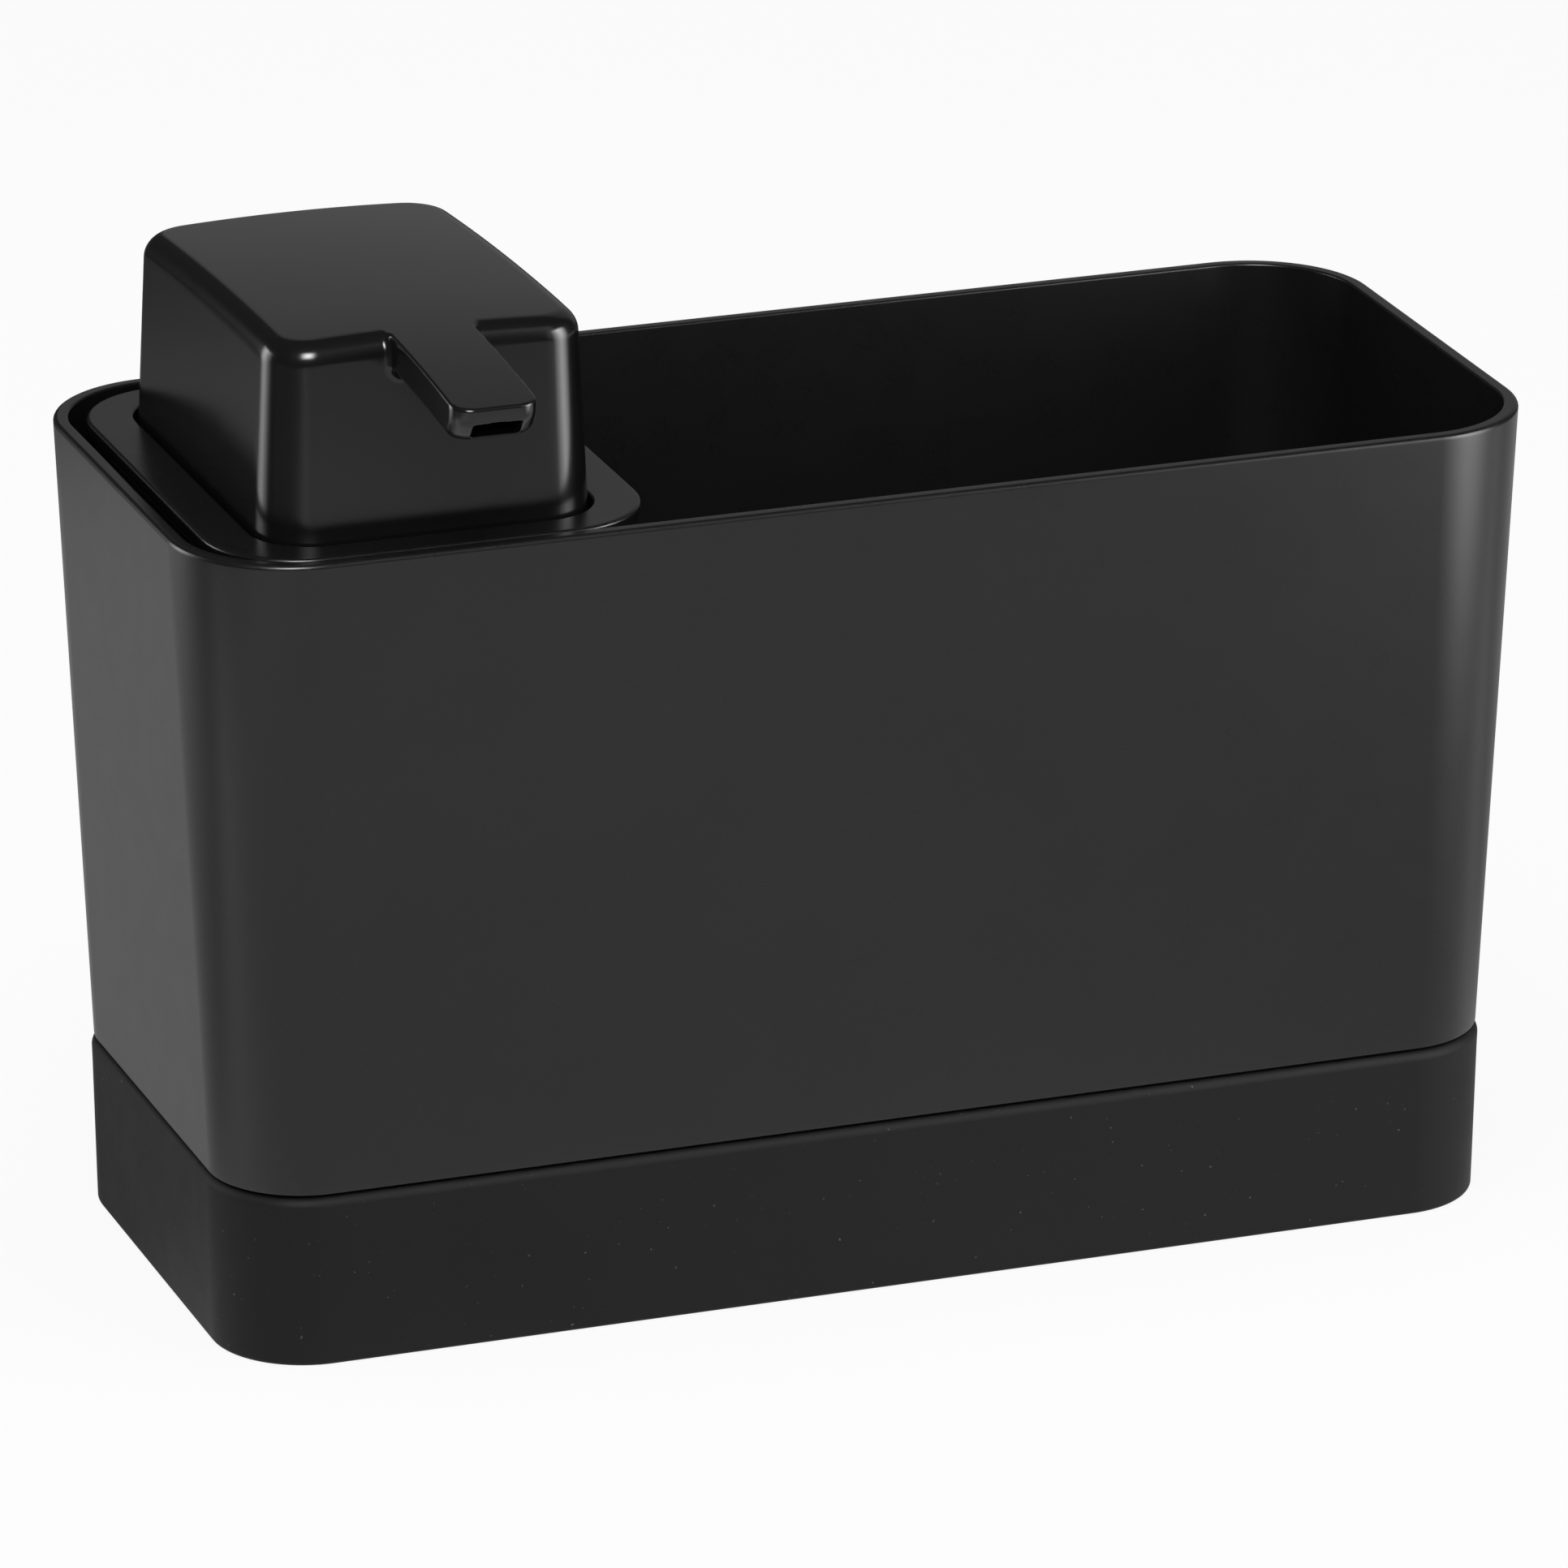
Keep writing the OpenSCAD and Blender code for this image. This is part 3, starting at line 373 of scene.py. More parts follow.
# What all finishes share: sizes of the noise, rubbed edges, specks of dust, strength of the grain
surface = {
    "cloudSize": 18,
    "patchSize": 6,
    "roughSpread": 0.03,
    "rubbed": (0.53, 0.62),
    "rubbedShare": 0.5,
    "rubbedPaler": 1.5,
    "dustSpecks": ((0.9, 0.775), (0.45, 0.785)),
    "dustFade": 0.04,
    "dustColour": 0.25,
    "grainStrength": 0.6,
}


def noiseOf(nodes, links, place, size, detail):
    # Noise whose lumps are about as large as the size in millimetres
    noise = nodes.new("ShaderNodeTexNoise")
    noise.inputs["Scale"].default_value = 1 / (size * mm)
    noise.inputs["Detail"].default_value = detail
    links.new(place.outputs["Object"], noise.inputs["Vector"])
    return noise


def mixColours(nodes, links, share, first, second):
    mix = nodes.new("ShaderNodeMix")
    mix.data_type = "RGBA"
    links.new(share, mix.inputs["Factor"])
    for socket, colour in ((mix.inputs[6], first), (mix.inputs[7], second)):
        if isinstance(colour, bpy.types.NodeSocket):
            links.new(colour, socket)
        else:
            socket.default_value = (colour, colour, colour, 1)
    return mix.outputs[2]


def makeFinish(name, finish):
    material = bpy.data.materials.new(name)
    material.use_nodes = True
    nodes = material.node_tree.nodes
    links = material.node_tree.links
    shader = nodes["Principled BSDF"]
    place = nodes.new("ShaderNodeTexCoord")
    cloudy = noiseOf(nodes, links, place, surface["cloudSize"], 3)
    patchy = noiseOf(nodes, links, place, surface["patchSize"], 4)
    grain = noiseOf(nodes, links, place, finish["grain"], 2)
    tone = spread(nodes, links, cloudy.outputs["Fac"], 0, 1)
    colour = mixColours(nodes, links, tone, finish["colour"], finish["paler"])
    # Rubbed edges are a little paler
    shape = nodes.new("ShaderNodeNewGeometry")
    rubbed = spread(nodes, links, shape.outputs["Pointiness"], 0, surface["rubbedShare"],
                    *surface["rubbed"])
    colour = mixColours(nodes, links, rubbed, colour, min(1, finish["paler"] * surface["rubbedPaler"]))
    if "dust" in finish:
        for size, start in surface["dustSpecks"]:
            fluff = noiseOf(nodes, links, place, size, 1)
            specks = spread(nodes, links, fluff.outputs["Fac"], 0, finish["dust"],
                            start, start + surface["dustFade"])
            colour = mixColours(nodes, links, specks, colour, surface["dustColour"])
    links.new(colour, shader.inputs["Base Color"])
    smoother = finish["rough"] * (1 - surface["roughSpread"])
    rougher = finish["rough"] * (1 + surface["roughSpread"])
    gloss = spread(nodes, links, patchy.outputs["Fac"], smoother, rougher)
    links.new(gloss, shader.inputs["Roughness"])
    shader.inputs["Specular IOR Level"].default_value = finish["shine"]
    if finish.get("metal"):
        shader.inputs["Metallic"].default_value = 1
    bump = nodes.new("ShaderNodeBump")
    bump.inputs["Strength"].default_value = surface["grainStrength"]
    bump.inputs["Distance"].default_value = finish["depth"] * mm
    links.new(grain.outputs["Fac"], bump.inputs["Height"])
    links.new(bump.outputs["Normal"], shader.inputs["Normal"])
    return material


materials = {name: makeFinish(name, finish) for name, finish in finishes.items()}
print("finishes mixed:", len(materials))


def nodeBox(node):
    low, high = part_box(node)
    return low / mm, high / mm


def roundedLoop(halfX, halfY, radius, z, steps=20, middle=(0, 0)):
    # Rounded rectangle as points, from the right side anticlockwise
    points = []
    for corner in range(4):
        centreX = (halfX - radius) * (1, -1, -1, 1)[corner]
        centreY = (halfY - radius) * (1, 1, -1, -1)[corner]
        for i in range(steps + 1):
            a = math.radians(90 * (corner + i / steps))
            x = middle[0] + centreX + radius * math.cos(a)
            y = middle[1] + centreY + radius * math.sin(a)
            points.append((x, y, z))
    return points


def roundLoop(radius, z, middle=(0, 0), steps=72):
    angles = [math.tau * i / steps for i in range(steps)]
    return [(middle[0] + radius * math.cos(a), middle[1] + radius * math.sin(a), z) for a in angles]


def bend(inset, z, radius, start, end, steps=6):
    # Arc of a section: inset from the outside, and height
    angles = [math.radians(start + (end - start) * i / steps) for i in range(steps + 1)]
    return [(inset + radius * math.cos(a), z + radius * math.sin(a)) for a in angles]


def addLoop(bm, points):
    return [bm.verts.new(p) for p in points]


def addSkin(bm, loops):
    # Faces between loops that follow each other, and the first and last loop for what joins on
    rows = [addLoop(bm, loop) for loop in loops]
    joinLoops(bm, rows)
    return rows[0], rows[-1]


def joinLoops(bm, rows):
    for low, high in zip(rows, rows[1:]):
        for i in range(len(low)):
            j = (i + 1) % len(low)
            bm.faces.new((low[i], low[j], high[j], high[i]))


def fillFlat(bm, *loops):
    # Closes a flat loop, round any loops inside it
    edges = []
    for loop in loops:
        for i in range(len(loop)):
            pair = (loop[i], loop[(i + 1) % len(loop)])
            edges.append(bm.edges.get(pair) or bm.edges.new(pair))
    bmesh.ops.triangle_fill(bm, edges=edges, use_beauty=True, use_dissolve=False)


def dress(piece, body, slotName, nodes=()):
    piece.data.materials.clear()
    piece.data.materials.append(materials[slotName])
    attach(piece, body)
    if nodes:
        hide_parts(*nodes)
    return piece


def makePiece(name, bm, body, slotName, nodes=(), crease=40):
    # Turns a finished bmesh in millimetres into a piece that rides on a body
    bmesh.ops.remove_doubles(bm, verts=bm.verts, dist=0.001)
    bmesh.ops.recalc_face_normals(bm, faces=bm.faces)
    bmesh.ops.scale(bm, vec=(mm, mm, mm), verts=bm.verts)
    mesh = bpy.data.meshes.new(name)
    bm.to_mesh(mesh)
    bm.free()
    mesh.polygons.foreach_set("use_smooth", [True] * len(mesh.polygons))
    mesh.set_sharp_from_angle(angle=math.radians(crease))
    piece = bpy.data.objects.new(name, mesh)
    scene.collection.objects.link(piece)
    weigh = piece.modifiers.new("evenShading", "WEIGHTED_NORMAL")
    weigh.keep_sharp = True
    return dress(piece, body, slotName, nodes)


# Silicone tray, with a soft lip and low ribs that carry the caddy
tray = {
    "corner": 15.6,
    "wall": 2,
    "floor": 2,
    "lean": 0.5,
    "lipRound": 1.5,
    "innerRound": 0.4,
    "footRound": 0.8,
    "floorRound": 1.2,
    "ribHeight": 1.5,
    "ribWidth": 3,
    "ribPitch": 30,
    "ribs": 3,
    "ribReach": 28,
    "ribRound": 0.6,
}


def makeTray():
    high = nodeBox("silicone_base")[1]
    t = tray
    foot = t["lean"] + t["footRound"]
    inner = t["lean"] + t["wall"] + t["floorRound"]
    section = bend(foot, t["footRound"], t["footRound"], -90, -180)
    section += [(t["lean"] * share, high.z * (1 - share)) for share in (0.85, 0.5, 0.15)]
    section += bend(t["lipRound"], high.z - t["lipRound"], t["lipRound"], 180, 90, 8)
    section += bend(t["wall"] - t["innerRound"], high.z - t["innerRound"], t["innerRound"], 90, 0)
    section += bend(inner, t["floor"] + t["floorRound"], t["floorRound"], 180, 270)
    bm = bmesh.new()
    loops = [roundedLoop(high.x - i, high.y - i, t["corner"] - i, z) for i, z in section]
    under, floor = addSkin(bm, loops)
    fillFlat(bm, under)
    fillFlat(bm, floor)
    for place in range(-t["ribs"], t["ribs"] + 1):
        addRib(bm, place * t["ribPitch"])
    makePiece("siliconeTray", bm, "tray", "silicone_tray", ["silicone_base"])


def addRib(bm, x):
    t = tray
    halfX = t["ribWidth"] / 2
    top = t["floor"] + t["ribHeight"]
    section = [(0, t["floor"])] + bend(t["ribRound"], top - t["ribRound"], t["ribRound"], 180, 90, 4)
    loops = [roundedLoop(halfX - i, t["ribReach"] - i, halfX / 2 + t["ribRound"] - i, z, 5, (x, 0))
             for i, z in section]
    crest = addSkin(bm, loops)[1]
    fillFlat(bm, crest)


makeTray()
print("tray made")

# Caddy: a tapered box whose lower part steps in behind the tray's lip
caddy = {
    "rimCorner": 19.6,
    "shoulderCorner": 15.2,
    "endLean": 4.7,
    "sideLean": 3.7,
    "wall": 2.4,
    "step": 1.9,
    "footLean": 0.5,
    "footRound": 0.8,
    "shoulderRound": 0.5,
    "rimRound": 0.8,
    "innerRound": 0.4,
    "floorRound": 3,
    "shoulderAboveTray": 0.4,
    "slots": 8,
    "slotPitch": 14,
    "slotLength": 18,
    "slotWidth": 4,
    "slotRound": 0.4,
    "slotFlat": 0.02,
    "baySide": -35.3,
    "footRing": 3,
    "lowRings": (2, 5),
    "highRings": (6, 2.5),
}


def makeCaddy():
    low, high = nodeBox("caddy")
    c = caddy
    shoulder = nodeBox("silicone_base")[1].z + c["shoulderAboveTray"]
    ledge = shoulder + c["wall"]
    floor = low.z + c["wall"]

    def upperLoop(inset, z):
        rise = (z - shoulder) / (high.z - shoulder)
        halfX = high.x - c["endLean"] * (1 - rise) - inset
        halfY = high.y - c["sideLean"] * (1 - rise) - inset
        corner = c["shoulderCorner"] + (c["rimCorner"] - c["shoulderCorner"]) * rise
        return roundedLoop(halfX, halfY, corner - inset, z)

    def lowerLoop(inset, z):
        rise = (z - low.z) / (shoulder - low.z)
        inset = inset + c["step"] + c["footLean"] * (1 - rise)
        return roundedLoop(high.x - c["endLean"] - inset, high.y - c["sideLean"] - inset,
                           c["shoulderCorner"] - inset, z)

    bm = bmesh.new()
    rim = c["rimRound"]
    lip = c["innerRound"]
    edge = c["shoulderRound"]
    foot = c["footRound"]
    loops = [lowerLoop(*p) for p in bend(foot, low.z + foot, foot, -90, -180)]
    loops += [lowerLoop(0, low.z + c["footRing"]), lowerLoop(0, shoulder - c["footRing"])]
    loops += [lowerLoop(0, shoulder)]
    loops += [upperLoop(*p) for p in bend(edge, shoulder + edge, edge, -90, -180, 4)]
    heights = [shoulder + up for up in c["lowRings"]] + [(shoulder + high.z) / 2]
    heights += [high.z - down for down in c["highRings"]]
    loops += [upperLoop(0, z) for z in heights]
    loops += [upperLoop(*p) for p in bend(rim, high.z - rim, rim, 180, 90, 8)]
    loops += [upperLoop(*p) for p in bend(c["wall"] - lip, high.z - lip, lip, 90, 0)]
    loops += [upperLoop(c["wall"], z) for z in reversed(heights[2:])]
    loops += [upperLoop(c["wall"], ledge + c["wall"]), upperLoop(c["wall"], ledge + c["wall"] / 2)]
    bowl = c["floorRound"]
    loops += [lowerLoop(c["wall"], ledge - c["wall"] / 2), lowerLoop(c["wall"], floor + 2 * bowl)]
    loops += [lowerLoop(*p) for p in bend(c["wall"] + bowl, floor + bowl, bowl, 180, 270, 8)]
    under, top = addSkin(bm, loops)
    bayEnd = high.x - c["endLean"] - c["step"] - c["footLean"] - c["wall"]
    bayMiddle = (c["baySide"] + bayEnd) / 2
    slots = []
    for i in range(c["slots"]):
        x = bayMiddle + (i - (c["slots"] - 1) / 2) * c["slotPitch"]
        slots.append(addSkin(bm, slotLoops(x, low.z, floor)))
    fillFlat(bm, under, *[first for first, last in slots])
    fillFlat(bm, top, *[last for first, last in slots])
    makePiece("caddy.body", bm, "caddy", "caddy_plastic", ["caddy"])


def slotLoops(x, low, high):
    # Walls of one drain slot, with softened edges above and below
    r = caddy["slotRound"]
    halfX = caddy["slotWidth"] / 2 + r
    halfY = caddy["slotLength"] / 2 + r
    corner = halfX - caddy["slotFlat"]
    section = bend(0, low + r, r, -90, 0, 4) + bend(0, high - r, r, 0, 90, 4)
    return [roundedLoop(halfX - out, halfY - out, corner - out, z, 8, (x, 0)) for out, z in section]


makeCaddy()
print("caddy made")

# Bottle under the plate
bottle = {
    "corner": 14.5,
    "footX": 29.4,
    "footY": 38.6,
    "footCorner": 9.8,
    "wall": 1.8,
    "footRound": 2.5,
    "mouthRound": 0.5,
    "footRing": 6,
    "mouthRing": 3,
    "floorRing": 5,
}


def makeBottle():
    low, high = nodeBox("bottle")
    b = bottle
    middle = ((low.x + high.x) / 2, 0)
    halfX = (high.x - low.x) / 2

    def bottleLoop(inset, z):
        rise = (z - low.z) / (high.z - low.z)
        x = b["footX"] + (halfX - b["footX"]) * rise - inset
        y = b["footY"] + (high.y - b["footY"]) * rise - inset
        corner = b["footCorner"] + (b["corner"] - b["footCorner"]) * rise
        return roundedLoop(x, y, corner - inset, z, 20, middle)

    r = b["footRound"]
    edge = b["mouthRound"]
    inner = r - b["wall"] / 2
    floor = low.z + b["wall"]
    section = bend(r, low.z + r, r, -90, -180)
    halfway = (low.z + high.z) / 2
    neck = high.z - b["mouthRing"]
    section += [(0, low.z + b["footRing"]), (0, halfway), (0, neck)]
    section += bend(edge, high.z - edge, edge, 180, 90, 4)
    section += bend(b["wall"] - edge, high.z - edge, edge, 90, 0, 4)
    section += [(b["wall"], neck), (b["wall"], halfway), (b["wall"], floor + b["floorRing"])]
    section += bend(b["wall"] + inner, floor + inner, inner, 180, 270)
    bm = bmesh.new()
    under, top = addSkin(bm, [bottleLoop(*p) for p in section])
    fillFlat(bm, under)
    fillFlat(bm, top)
    makePiece("soapBottle", bm, "bottle", "bottle_plastic", ["bottle"])


makeBottle()
print("bottle made")

# Collar plate: the flat cover of the bottle, with the well and guide posts of the press head
plate = {
    "thick": 2.2,
    "belowRim": 0.4,
    "corner": 15.5,
    "edgeRound": 0.6,
    "underRound": 0.3,
    "wellX": 27.3,
    "wellY": 38.6,
    "wellCorner": 9.7,
    "wellWall": 1.6,
    "wellFloor": 2,
    "wellRound": 0.4,
    "wellFillet": 1,
    "topRing": 2,
    "wallRing": 3,
    "neckRadius": 11.7,
    "neckFillet": 0.6,
    "boreRadius": 8.3,
    "neckHeight": 8,
    "postRadius": 2.5,
    "postPlace": 25,
    "postRound": 0.6,
    "postFillet": 0.5,
    "plugX": 31.5,
    "plugY": 41.1,
    "plugCorner": 12.3,
    "plugWall": 1.4,
    "plugDepth": 5,
    "plugRound": 0.4,
}


def makePlate():
    low, high = nodeBox("collar_plate")
    p = plate
    middle = ((low.x + high.x) / 2, 0)
    halfX = (high.x - low.x) / 2
    top = nodeBox("caddy")[1].z - p["belowRim"]
    under = top - p["thick"]
    edge = p["edgeRound"]
    lower = p["underRound"]
    wall = p["wellWall"]
    ring = p["wallRing"]
    wellFloor = low.z + p["wellFloor"]
    r = p["wellRound"]
    fillet = p["wellFillet"]

    def wellLoop(out, z):
        return roundedLoop(p["wellX"] + out, p["wellY"] + out, p["wellCorner"] + out, z, 12, middle)

    def plateLoop(inset, z):
        return roundedLoop(halfX - inset, high.y - inset, p["corner"] - inset, z, 12, middle)

    bm = bmesh.new()
    loops = [wellLoop(*q) for q in bend(-fillet, wellFloor + fillet, fillet, -90, 0, 4)]
    loops += [wellLoop(0, wellFloor + ring), wellLoop(0, top - ring)]
    loops += [wellLoop(*q) for q in bend(r, top - r, r, 180, 90, 4)]
    loops += [wellLoop(p["topRing"], top), plateLoop(p["topRing"], top)]
    loops += [plateLoop(*q) for q in reversed(bend(edge, top - edge, edge, 180, 90))]
    loops += [plateLoop(*q) for q in bend(lower, under + lower, lower, 180, 270, 4)]
    loops += [wellLoop(wall, z) for z in (under, under - ring, low.z + ring)]
    loops += [wellLoop(*q) for q in bend(wall - r, low.z + r, r, 0, -90, 4)]
    innerFloor, outerFloor = addSkin(bm, loops)
    neckTop = wellFloor + p["neckHeight"]
    outer = p["neckRadius"]
    bore = p["boreRadius"]
    flare = p["neckFillet"]
    neck = [(outer + flare, wellFloor), (outer, wellFloor + flare), (outer, neckTop - r)]
    neck += [(outer - r, neckTop), (bore + r, neckTop), (bore, neckTop - r)]
    neck += [(bore, low.z + r), (bore + r, low.z)]
    neckFoot, neckEnd = addSkin(bm, [roundLoop(radius, z, middle) for radius, z in neck])
    posts = []
    for side in (-1, 1):
        place = (middle[0], side * p["postPlace"])
        thick = p["postRadius"]
        flare = p["postFillet"]
        tip = p["postRound"]
        section = [(thick + flare, wellFloor), (thick, wellFloor + flare)]
        section += [(thick - i, z) for i, z in bend(tip, high.z - tip, tip, 180, 90, 4)]
        foot, crest = addSkin(bm, [roundLoop(radius, z, place, 40) for radius, z in section])
        fillFlat(bm, crest)
        posts.append(foot)
    fillFlat(bm, innerFloor, neckFoot, *posts)
    fillFlat(bm, outerFloor, neckEnd)
    addPlug(bm, middle, under)
    makePiece("collarPlate", bm, "pump", "plate_plastic", ["collar_plate"])


def addPlug(bm, middle, top):
    # Ring that centres the plate in the bottle's mouth
    p = plate
    foot = top - p["plugDepth"]
    r = p["plugRound"]
    section = [(0, top)] + bend(r, foot + r, r, 180, 270, 4)
    section += bend(p["plugWall"] - r, foot + r, r, -90, 0, 4) + [(p["plugWall"], top)]
    loops = [roundedLoop(p["plugX"] - i, p["plugY"] - i, p["plugCorner"] - i, z, 12, middle)
             for i, z in section]
    addSkin(bm, loops)


makePlate()
print("plate made")

# Press head: crowned top, leaning sides and a tongue spout that grows out of its front
pressHead = {
    "corner": 9,
    "lean": 1.5,
    "edgeRound": 3.3,
    "crownFront": 345,
    "crownRear": 760,
    "crownMiddle": -20.5,
    "crownAcross": 355,
    "wall": 1.8,
    "innerRound": 2.4,
    "footRound": 0.5,
    "spoutHalf": 6.75,
    "spoutThick": 6.3,
    "spoutFillet": 1.3,
    "spoutEdge": 0.5,
    "spoutUnderEdge": 1.8,
    "tipCorner": 3.4,
    "tipFace": 2.4,
    "tipSlant": 2.6,
    "tipSoft": 0.8,
    "outletHalf": 3.85,
    "outletRoof": 2.6,
    "outletFloor": 5.4,
    "outletCorner": 0.4,
    "outletEdge": 0.15,
    "ductHalf": 4.75,
    "ductRoof": 2.05,
    "ductFloor": 5.85,
    "ductFront": 3.8,
    "ductBack": 5.6,
}
# Grid lines for the head's skin: where each stretch starts, and the step from there on
headGrid = {
    "x": ((0, 0.8), (3.2, 0.36), (11, 1), (16, 1.5), (18.5, 0.6), (23, 0.45), (27.4, None)),
    "y": ((-67.6, 0.36), (-58, 1), (-46, 0.5), (-30, 1.8), (25, 0.9), (32, 0.5), (38.6, None)),
    "z": ((127.5, 0.3), (129.6, 1.5), (146, 0.45), (163.4, None)),
}


def gridLines(stretches):
    lines = []
    for (start, step), (end, _) in zip(stretches, stretches[1:]):
        count = max(1, round((end - start) / step))
        lines += [start + (end - start) * i / count for i in range(count)]
    return np.array(lines + [stretches[-1][0]])


def joinRound(a, b, radius):
    # Joins two solids, with a fillet where they meet
    reach = np.hypot(np.maximum(radius - a, 0), np.maximum(radius - b, 0))
    return np.maximum(radius, np.minimum(a, b)) - reach


def cutRound(a, b, radius):
    # Keeps what two solids share, with a rounding where they meet
    reach = np.hypot(np.maximum(radius + a, 0), np.maximum(radius + b, 0))
    return np.minimum(-radius, np.maximum(a, b)) + reach


def planDistance(x, y, halfX, halfY, corner):
    # Distance from a rounded rectangle, negative inside
    outX = np.abs(x) - (halfX - corner)
    outY = np.abs(y) - (halfY - corner)
    outside = np.hypot(np.maximum(outX, 0), np.maximum(outY, 0))
    return outside + np.minimum(np.maximum(outX, outY), 0) - corner


def headDistance(x, y, z):
    # Distance from the skin of the head, negative inside the plastic
    h = pressHead
    low, high = nodeBox("pump_head")
    halfX = (high.x - low.x) / 2
    halfY = high.y
    radius = np.where(y < h["crownMiddle"], h["crownFront"], h["crownRear"])
    drop = radius - np.sqrt(radius ** 2 - (y - h["crownMiddle"]) ** 2)
    above = z - (high.z - drop - x ** 2 / (2 * h["crownAcross"]))
    lean = h["lean"] * np.clip((z - low.z) / (high.z - h["edgeRound"] - low.z), 0, 1)
    sides = planDistance(x, y, halfX - lean, halfY - lean, h["corner"] - lean)
    body = cutRound(sides, above, h["edgeRound"])
    # The tip slants back under its face
    past = -above - h["tipFace"]
    slope = h["tipSlant"] / (h["spoutThick"] - h["tipFace"])
    front = low.y + slope * (past + np.hypot(past, h["tipSoft"])) / 2
    tongue = planDistance(x, y - front / 2, h["spoutHalf"], -front / 2, h["tipCorner"])
    tongue = cutRound(tongue, above, h["spoutEdge"])
    tongue = cutRound(tongue, -above - h["spoutThick"], h["spoutUnderEdge"])
    skin = np.maximum(joinRound(body, tongue, h["spoutFillet"]), above)
    skin = cutRound(skin, low.z - z, h["footRound"])
    hollow = cutRound(sides + h["wall"], above + h["wall"], h["innerRound"])
    skin = cutRound(skin, -hollow, h["footRound"])
    outletMiddle = (h["outletRoof"] + h["outletFloor"]) / 2
    outletHeight = (h["outletFloor"] - h["outletRoof"]) / 2
    outlet = planDistance(x, above + outletMiddle, h["outletHalf"], outletHeight, h["outletCorner"])
    # The outlet is cut in the front half alone
    outlet = np.maximum(outlet, y)
    skin = cutRound(skin, -outlet, h["outletEdge"])
    ductMiddle = (h["ductRoof"] + h["ductFloor"]) / 2
    ductHeight = (h["ductFloor"] - h["ductRoof"]) / 2
    duct = np.maximum(np.abs(x) - h["ductHalf"], np.abs(above + ductMiddle) - ductHeight)
    duct = np.maximum(duct, np.maximum(low.y + h["ductFront"] - y, y - h["ductBack"]))
    return np.maximum(skin, -duct)


def slopeOf(distance, points, step=0.02):
    # Direction in which the distance grows, at each point
    slope = np.empty_like(points)
    for axis in range(3):
        nudge = np.zeros(3)
        nudge[axis] = step
        ahead = distance(*(points + nudge).T)
        behind = distance(*(points - nudge).T)
        slope[:, axis] = (ahead - behind) / (2 * step)
    return slope


def skinOf(distance, xs, ys, zs):
    # Quads where the distance is zero: one point in each grid cell that the skin passes through
    grid = np.stack(np.meshgrid(xs, ys, zs, indexing="ij"), axis=-1)
    value = distance(grid[..., 0], grid[..., 1], grid[..., 2])
    cells = tuple(n - 1 for n in value.shape)
    total = np.zeros(cells + (3,))
    count = np.zeros(cells)
    crossings = []
    for axis in range(3):
        near = [slice(None)] * 3
        far = [slice(None)] * 3
        near[axis] = slice(None, -1)
        far[axis] = slice(1, None)
        a, b = value[tuple(near)], value[tuple(far)]
        cross = (a < 0) != (b < 0)
        share = np.where(cross, a / np.where(cross, a - b, 1), 0)[..., None]
        point = grid[tuple(near)] * (1 - share) + grid[tuple(far)] * share
        crossings.append((cross, a < 0))
        others = [k for k in range(3) if k != axis]
        for first in (0, 1):
            for second in (0, 1):
                pick = [slice(None)] * 3
                pick[others[0]] = slice(first, first + cells[others[0]])
                pick[others[1]] = slice(second, second + cells[others[1]])
                total += np.where(cross[tuple(pick)][..., None], point[tuple(pick)], 0)
                count += cross[tuple(pick)]
    used = count > 0
    number = np.full(cells, -1)
    number[used] = np.arange(used.sum())
    points = total[used] / count[used][:, None]
    quads = []
    for axis, (cross, inside) in enumerate(crossings):
        u, v = (axis + 1) % 3, (axis + 2) % 3
        where = np.argwhere(cross)
        keep = (where[:, u] > 0) & (where[:, v] > 0)
        keep &= (where[:, u] < cells[u]) & (where[:, v] < cells[v])
        where = where[keep]
        stepU = np.eye(3, dtype=int)[u]
        stepV = np.eye(3, dtype=int)[v]
        ring = [where - stepU - stepV, where - stepV, where, where - stepU]
        quad = np.stack([number[tuple(c.T)] for c in ring], axis=1)
        flip = ~inside[tuple(where.T)]
        quad[flip] = quad[flip][:, ::-1]
        quads.append(quad)
    return points, np.concatenate(quads)


def settle(distance, points, rounds=4, leastSlope=0.2, longestMove=0.3):
    # Moves the points onto the skin
    for _ in range(rounds):
        slope = slopeOf(distance, points)
        size = np.maximum((slope ** 2).sum(1), leastSlope)
        move = np.clip(distance(*points.T) / size, -longestMove, longestMove)
        points = points - move[:, None] * slope
    return points


def makeHead():
    low, high = nodeBox("pump_head")
    half = gridLines(headGrid["x"])
    xs = np.concatenate([-half[:0:-1], half])
    points, quads = skinOf(headDistance, xs, gridLines(headGrid["y"]), gridLines(headGrid["z"]))
    points = settle(headDistance, points)
    slope = slopeOf(headDistance, points)
    slope /= np.linalg.norm(slope, axis=1)[:, None]
    points[:, 0] += (low.x + high.x) / 2
    mesh = bpy.data.meshes.new("pressHead")
    mesh.from_pydata((points * mm).tolist(), [], quads.tolist())
    mesh.polygons.foreach_set("use_smooth", [True] * len(mesh.polygons))
    mesh.normals_split_custom_set_from_vertices(slope.tolist())
    piece = bpy.data.objects.new("pressHead", mesh)
    scene.collection.objects.link(piece)
    print("head skin:", len(points), "points")
    dress(piece, "head", "head_plastic", ["pump_head"])


makeHead()
print("press head made")

# Seals and spring
smallParts = {
    "sealX": 33.5,
    "sealY": 43.1,
    "sealCorner": 14.3,
    "sealWidth": 1.6,
    "sealRound": 0.3,
    "springTurns": 7,
    "springWire": 1,
    "springCoil": 5.2,
    "springSteps": 28,
    "springSides": 10,
    "stroke": 12,
}


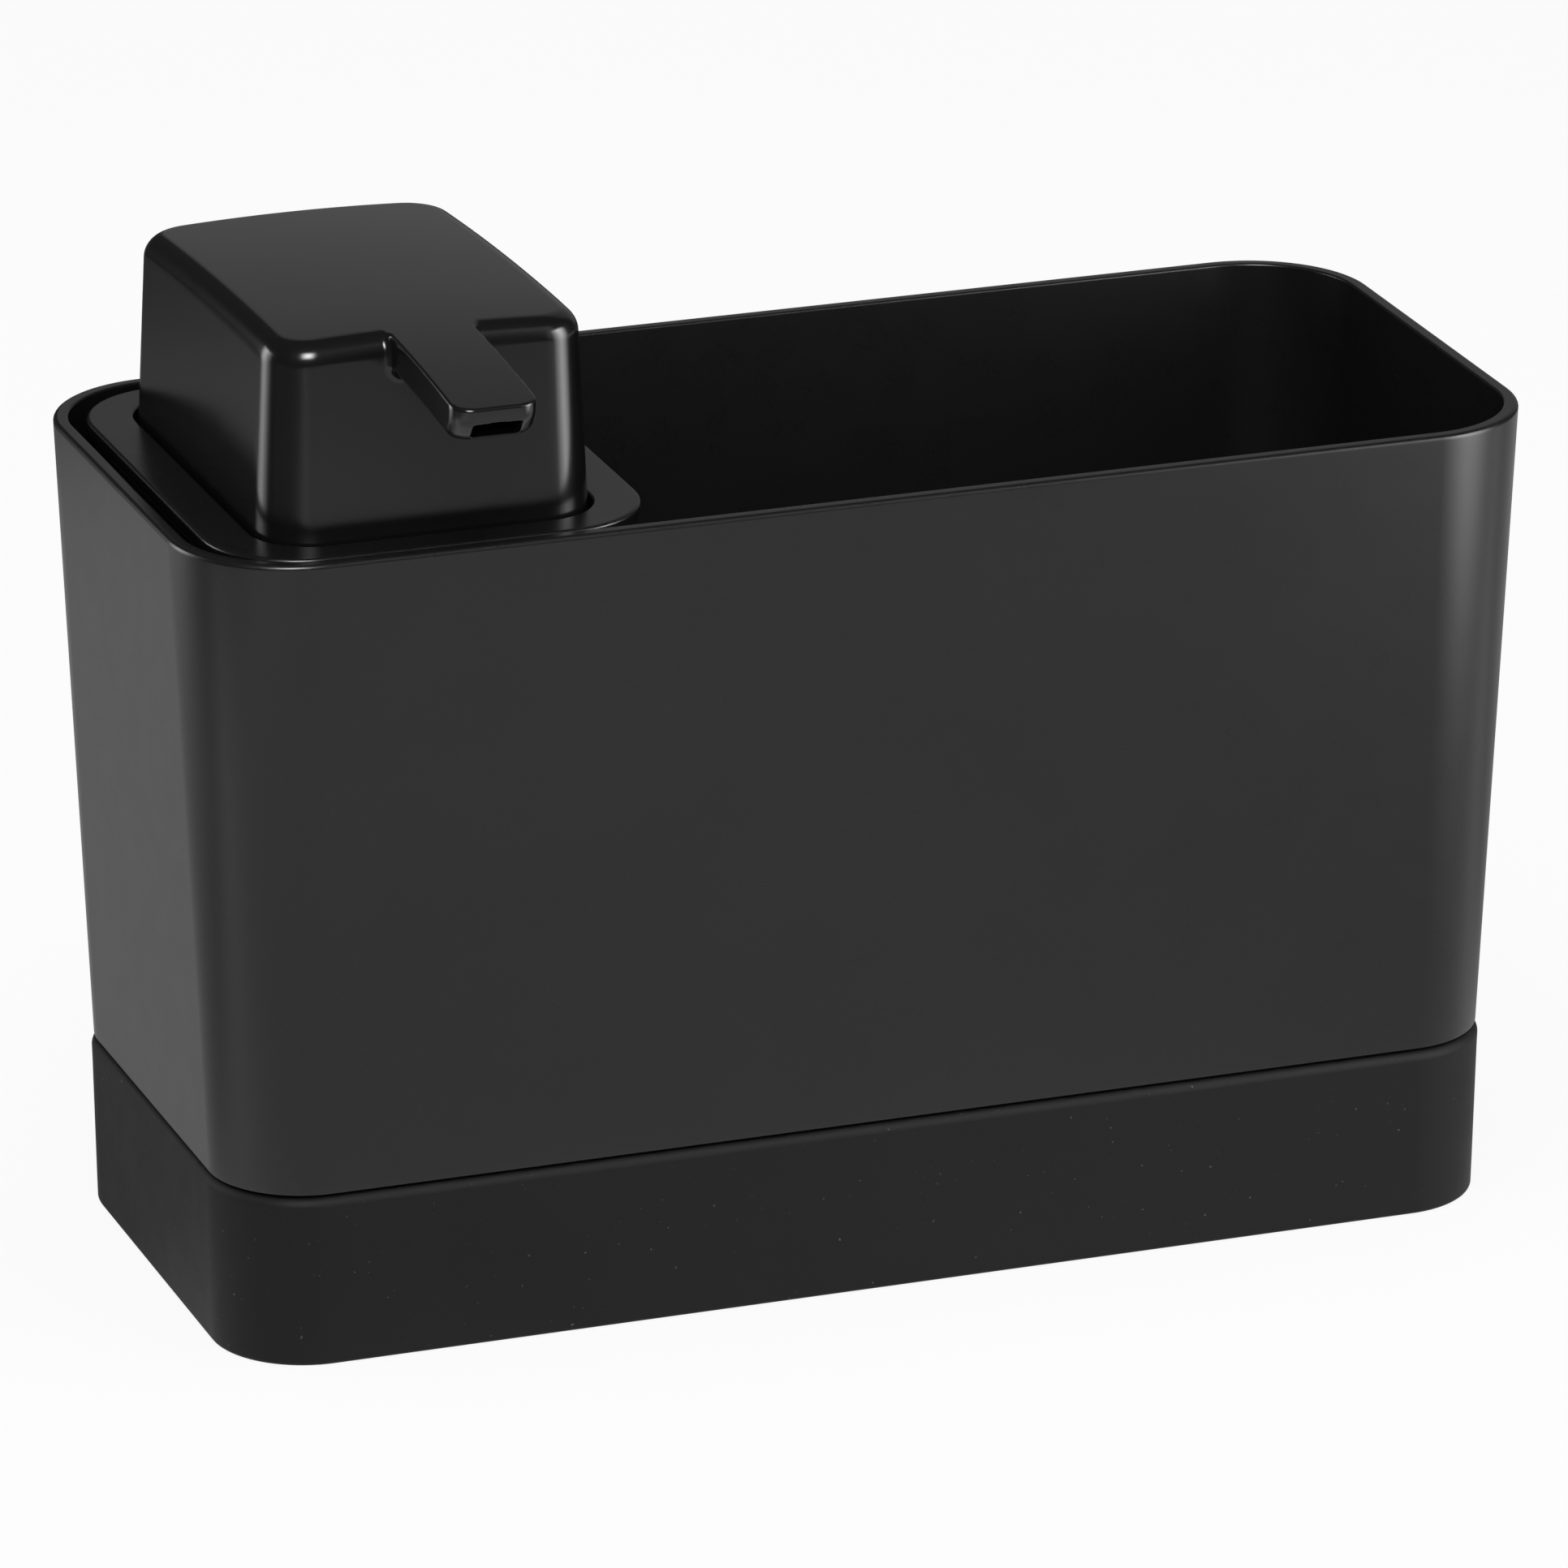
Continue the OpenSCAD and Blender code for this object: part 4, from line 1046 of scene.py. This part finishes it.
def makeSeal():
    low, high = nodeBox("plate_seal")
    s = smallParts
    r = s["sealRound"]
    w = s["sealWidth"]
    section = bend(r, low.z + r, r, 270, 180, 3) + bend(r, high.z - r, r, 180, 90, 3)
    section += bend(w - r, high.z - r, r, 90, 0, 3) + bend(w - r, low.z + r, r, 0, -90, 3)
    middle = ((low.x + high.x) / 2, 0)
    bm = bmesh.new()
    rows = [addLoop(bm, roundedLoop(s["sealX"] - i, s["sealY"] - i, s["sealCorner"] - i, z, 16, middle))
            for i, z in section]
    joinLoops(bm, rows + rows[:1])
    makePiece("plateSeal", bm, "pump", "seal", ["plate_seal"])


def makeGasket():
    low, high = nodeBox("neck_gasket")
    middle = ((low.x + high.x) / 2, 0)
    outer = (high.x - low.x) / 2
    inner = plate["boreRadius"]
    r = smallParts["sealRound"]
    section = [(outer, low.z + r), (outer, high.z - r), (outer - r, high.z), (inner + r, high.z)]
    section += [(inner, high.z - r), (inner, low.z + r), (inner + r, low.z), (outer - r, low.z)]
    bm = bmesh.new()
    rows = [addLoop(bm, roundLoop(radius, z, middle)) for radius, z in section]
    joinLoops(bm, rows + rows[:1])
    makePiece("neckGasket", bm, "pump", "seal", ["neck_gasket"])


def makeSpring():
    low, high = nodeBox("return_spring")
    s = smallParts
    wire = s["springWire"] / 2
    middle = ((low.x + high.x) / 2, 0)
    sides = s["springSides"]
    total = s["springTurns"] * s["springSteps"]
    bm = bmesh.new()
    rows = []
    for i in range(total + 1):
        a = math.tau * i / s["springSteps"]
        rise = low.z + wire + (high.z - low.z - 2 * wire) * i / total
        row = []
        for k in range(sides):
            b = math.tau * k / sides
            out = s["springCoil"] + wire * math.cos(b)
            place = (middle[0] + out * math.cos(a), out * math.sin(a), rise + wire * math.sin(b))
            row.append(bm.verts.new(place))
        rows.append(row)
    joinLoops(bm, rows)
    bm.faces.new(rows[0][::-1])
    bm.faces.new(rows[-1])
    spring = makePiece("returnSpring", bm, "pump", "spring_steel", ["return_spring"])
    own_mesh(spring)


makeSeal()
makeGasket()
makeSpring()
print("small parts made")

# The pump's own CAD parts keep their shape and get a finish
cadFinish = {
    "pump_housing": "pump_plastic",
    "pump_closure": "plate_plastic",
    "stem_guide": "pump_plastic",
    "stem": "pump_plastic",
    "piston": "piston_plastic",
    "stem_foot": "pump_plastic",
    "ball_cage": "pump_plastic",
    "inlet_ball": "ball_steel",
    "outlet_ball": "ball_steel",
    "dip_tube": "tube_plastic",
    # The head's inside parts take the darker inner finish, painted shade for the outlet and hollow
    "head_insert": "inner_plastic",
    "spout_duct": "inner_plastic",
}
for node, slotName in cadFinish.items():
    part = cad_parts[node]
    part.data.materials.clear()
    part.data.materials.append(materials[slotName])
print("CAD parts finished:", len(cadFinish))
